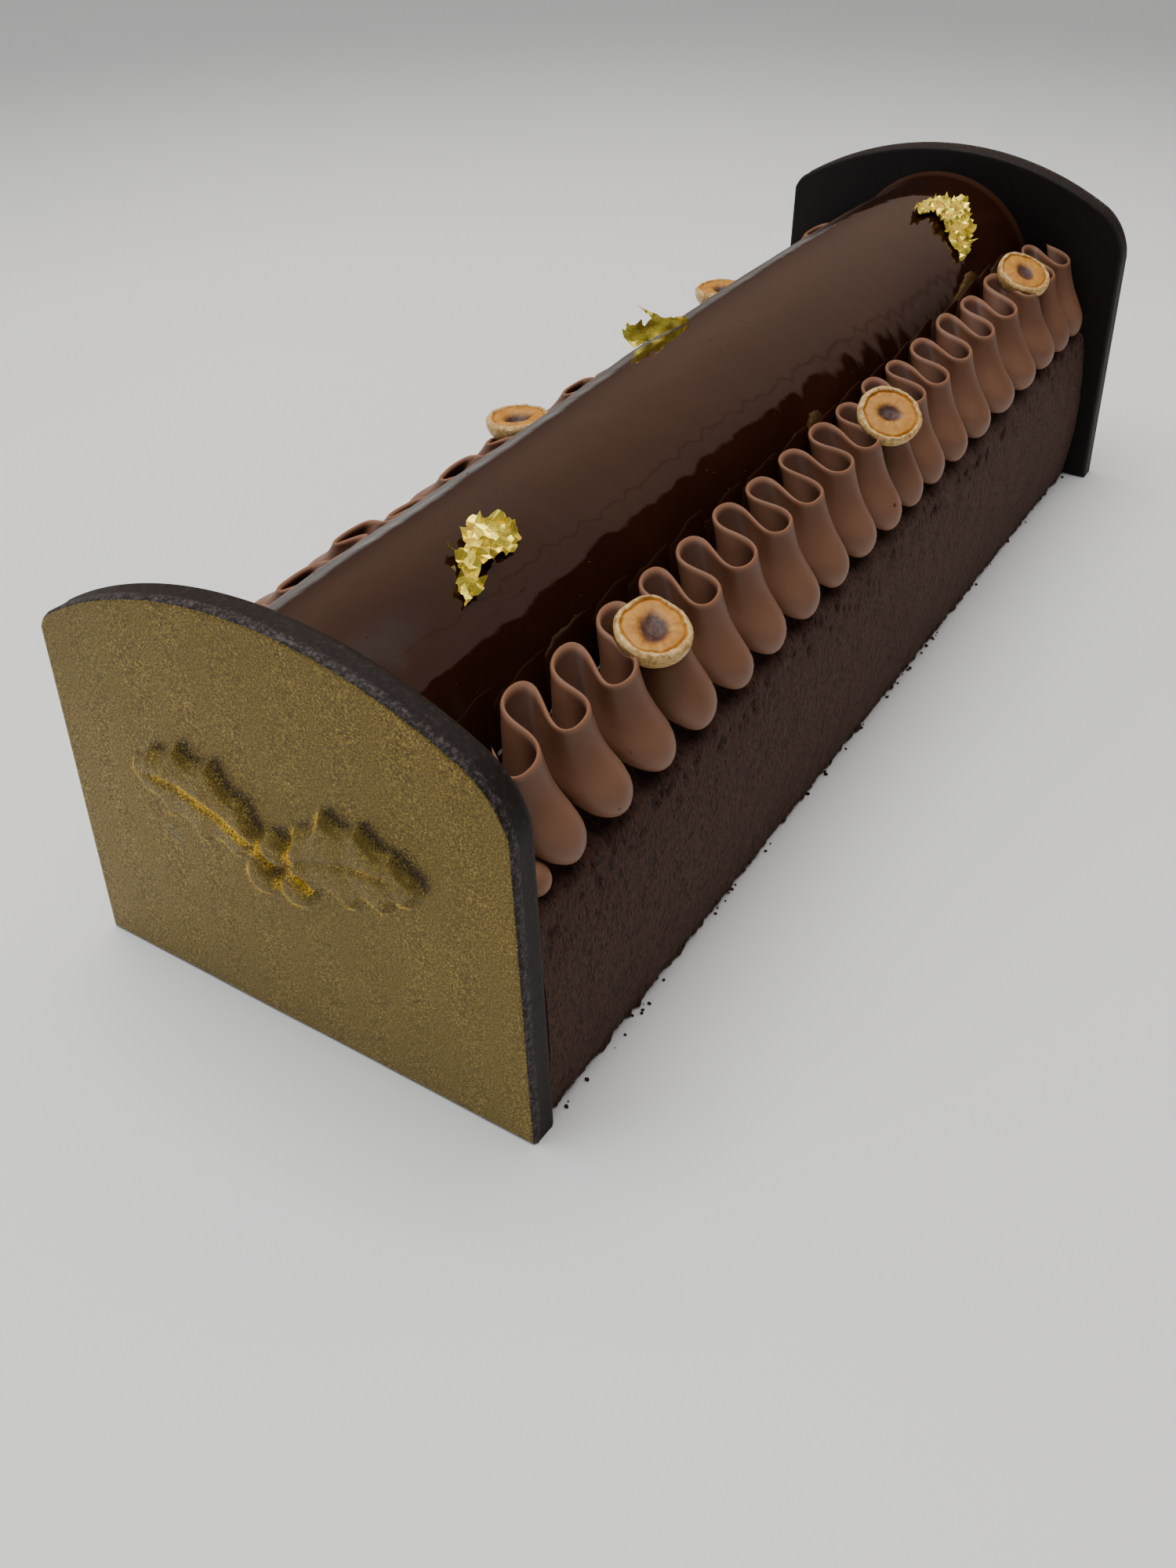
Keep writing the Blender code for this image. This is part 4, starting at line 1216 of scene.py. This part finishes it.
def leaf_piece(number, outline, stand, step=0.95):
    """A crumpled sheet of triangles. stand turns coordinates in mm into a place in metres."""
    border = torn(outline, step * 0.55, 4.0 * number)
    low_u, low_g = (min(values) for values in zip(*border))
    high_u, high_g = (max(values) for values in zip(*border))
    points = [Vector(point) for point in border]
    for i in range(1, int((high_u - low_u) / step)):
        for j in range(1, int((high_g - low_g) / step)):
            u = low_u + i * step + 0.5 * step * (j % 2)
            g = low_g + j * step
            u += 0.45 * step * rough(u, g, 1.7, 0.9, 1)
            g += 0.45 * step * rough(g, u, 5.1, 0.9, 1)
            if min(math.hypot(u - a, g - b) for a, b in border) > 0.55 * step:
                points.append(Vector((u, g)))
    edges = list(sides_of(list(range(len(border)))))
    verts, _, faces, *_ = geometry.delaunay_2d_cdt(points, edges, [], INSIDE_EDGES, 1e-5)
    mesh = bmesh.new()
    top = [mesh.verts.new(stand(u, g, 0.05)) for u, g in verts]
    bottom = [mesh.verts.new(stand(u, g, 0.0)) for u, g in verts]
    used = []
    for face in faces:
        mesh.faces.new([top[k] for k in face])
        mesh.faces.new([bottom[k] for k in reversed(face)])
        used += sides_of(face)
    inner = set(used)
    for a, b in used:
        if (b, a) not in inner:
            mesh.faces.new((top[b], top[a], bottom[a], bottom[b]))
    loose = [vertex for vertex in mesh.verts if not vertex.link_faces]
    bmesh.ops.delete(mesh, geom=loose, context="VERTS")
    piece = make_piece("gold_scrap_%d" % number, mesh, foil.material, 28)
    seat(piece, "leaf", "gold_leaf_%d" % number)


def ridged(u, g, seed, size):
    """0 to 1 with sharp ridges."""
    return 1 - min(abs(rough(u, g, seed, size)) * 2.2, 1.0)


def above_the_log(y, angle, sideways, out):
    """A place on the set glaze, moved round it and out from it by some mm."""
    around = math.radians(angle) + sideways * MM / LOG_RADIUS
    return round_the_log(log_radius(y) + ripple(around, y) + out * MM, around, y)


def on_the_log(centre_y, angle, height, seed):
    """A way to lay an outline on the log: u runs along it and g round it, both in mm."""
    def place(u, g, above):
        crease = ridged(u * 1.5, g * 0.8, seed, 3.4) ** 2
        small = ridged(u * 1.6, g * 0.6, seed + 2, 1.5) ** 2
        lift = smooth(-0.5, 0.7, rough(u, g, seed + 4, 6.5, 2))
        out = 0.22 + height * (0.25 + 0.75 * lift) * (0.15 + 0.85 * crease) + 0.35 * small
        y = (centre_y + u + 0.55 * rough(u, g, seed + 6, 2.4, 2)) * MM
        return above_the_log(y, angle, g + 0.55 * rough(u, g, seed + 8, 2.4, 2), out + above)
    return place


def upright(centre_y, angle, turn, seed):
    """A way to stand an outline up on the log: u runs along it, turning round it, and g is height."""
    def place(u, g, above):
        lean = 0.9 * rough(u, g, seed, 3.2) + 0.35 * math.sin(u * 1.1) * smooth(0, 3, g)
        y = (centre_y + u + 0.35 * rough(u, g, seed + 3, 2.0)) * MM
        return above_the_log(y, angle + turn * u, lean + above, 0.15 + max(g, 0.0))
    return place


SCRAP_1 = [(-11.1, -5.7), (-5.5, -5.1), (-4.8, -4.6), (-4.6, -3.4), (-3.3, -2.3), (-1.0, -2.2), (0.8, -2.5),
           (2.5, -2.3), (3.7, -1.8), (4.6, -3.2), (7.2, -3.4), (10.7, -2.0), (11.6, 0.3), (10.6, 2.6),
           (9.7, 5.5), (9.3, 7.0), (8.0, 7.3), (6.0, 6.7), (5.6, 6.0), (3.1, 6.4), (2.3, 4.8), (1.4, 3.0),
           (0.2, 3.2), (-0.7, 3.4), (-2.0, 4.6), (-2.6, 4.0), (-3.0, 2.8), (-5.5, -0.4), (-8.8, -2.0),
           (-9.3, -2.6), (-9.2, -4.2)]
SCRAP_2 = [(-4.6, 0.3), (-5.1, 3.6), (-4.7, 5.4), (-4.1, 4.4), (-3.5, 5.8), (-2.8, 4.6), (-1.8, 5.2),
           (-1.3, 3.6), (0.8, 4.2), (-1.0, 8.2), (2.2, 4.4), (3.4, 3.2), (5.6, 2.4), (7.8, 1.6), (8.8, 0.4),
           (8.4, 0.0), (4.0, 0.0), (1.2, 0.1), (-1.6, 0.2)]
SCRAP_3 = [(-14.0, 7.5), (-10.0, 9.0), (-2.0, 9.2), (6.0, 6.5), (12.0, 3.0), (12.0, 0.5), (5.0, -2.5),
           (-2.0, -6.5), (-10.0, -9.5), (-17.0, -10.0), (-14.0, -3.0), (-12.0, 0.0), (-9.0, 2.5), (-8.0, 5.0),
           (-14.0, 5.6)]
leaf_piece(1, SCRAP_1, on_the_log(-106.2, 70.0, 3.4, 11.0))
leaf_piece(2, SCRAP_2, upright(-3.0, 117.0, -1.1, 23.0), 0.7)
leaf_piece(3, SCRAP_3, on_the_log(116.3, 62.0, 3.6, 37.0))

# %% [markdown]
# ## Crumbs and bubbles
#
# A few crumbs of the cocoa skin lie at the foot, where the cake was set down, and a few bubbles
# stand in the glaze. Both are small round things strewn over a surface, so one Geometry Nodes tree
# makes either: it spreads points over a mesh and puts a turned, differently sized ball on each.


# %% The strewing tree
def strewing_tree():
    numbers = dict.fromkeys(("Density", "Smallest", "Largest", "Flatness"), "Float")
    sockets = {"Geometry": "Geometry", **numbers, "Seed": "Int", "Material": "Material"}
    tree, given = new_tree("strewn_balls", sockets, {"Geometry": "Geometry"})
    spread = add_node(tree, "GeometryNodeDistributePointsOnFaces", {
        "Mesh": given["Geometry"], "Density": given["Density"], "Seed": given["Seed"]})
    ball = add_node(tree, "GeometryNodeMeshIcoSphere", {"Radius": 1.0, "Subdivisions": 2})
    flat = add_node(tree, "ShaderNodeCombineXYZ", {"X": 1.0, "Y": 0.85, "Z": given["Flatness"]})
    squashed = add_node(tree, "GeometryNodeTransform", {
        "Geometry": ball.outputs["Mesh"], "Scale": flat.outputs[0]})
    size = add_node(tree, "FunctionNodeRandomValue", {2: given["Smallest"], 3: given["Largest"]},
                    data_type="FLOAT")
    placed = add_node(tree, "GeometryNodeInstanceOnPoints", {
        "Points": spread.outputs["Points"], "Instance": squashed.outputs[0],
        "Rotation": spread.outputs["Rotation"], "Scale": size.outputs[1]})
    return close_tree(tree, placed.outputs[0], given["Material"])


strewn = strewing_tree()


def strew(name, slot, surface, lumpy, **inputs):
    """Strew balls over a surface and roughen each of their points by up to lumpy metres."""
    data = grown(name, strewn, surface, **inputs)
    for vertex in data.vertices:
        x, y, z = vertex.co
        off = [lumpy * rough(*order, 0.5 * MM, 2) for order in ((x, y, z), (y, z, x), (z, x, y))]
        vertex.co = (x + off[0], y + off[1], max(z + off[2], 0.0))
    data.shade_smooth()
    seat(show(name, data), slot)


# crumbs lie in a narrow strip along the foot, more of them by the front corner
STRIPS = ((48.2, 49.8, -145.0, -112.0), (48.1, 48.9, -112.0, 143.0), (-49.2, -48.1, -140.0, 143.0))
strip = bmesh.new()
for x0, x1, y0, y1 in STRIPS:
    corners = ((x0, y0), (x1, y0), (x1, y1), (x0, y1))
    strip.faces.new([strip.verts.new(in_mm(x, y, 0.25)) for x, y in corners])
strew("cocoa_crumbs", "velvet", mesh_data("crumb_strip", strip), 0.12 * MM, Density=190000.0,
      Smallest=0.12 * MM, Largest=0.50 * MM, Flatness=0.8, Seed=4, Material=velvet.material)

# bubbles stand only on the upper part of the glaze
BUBBLES_FROM_Z = 66 * MM
patch = bmesh.new()
patch.from_mesh(log_piece.data)
low_faces = [face for face in patch.faces
             if face.calc_center_median().z < BUBBLES_FROM_Z or face.normal.z < 0.3]
bmesh.ops.delete(patch, geom=low_faces, context="FACES")
strew("glaze_bubbles", "glaze", mesh_data("glaze_patch", patch), 0.0, Density=9000.0,
      Smallest=0.10 * MM, Largest=0.26 * MM, Flatness=0.55, Seed=7, Material=glaze.material)
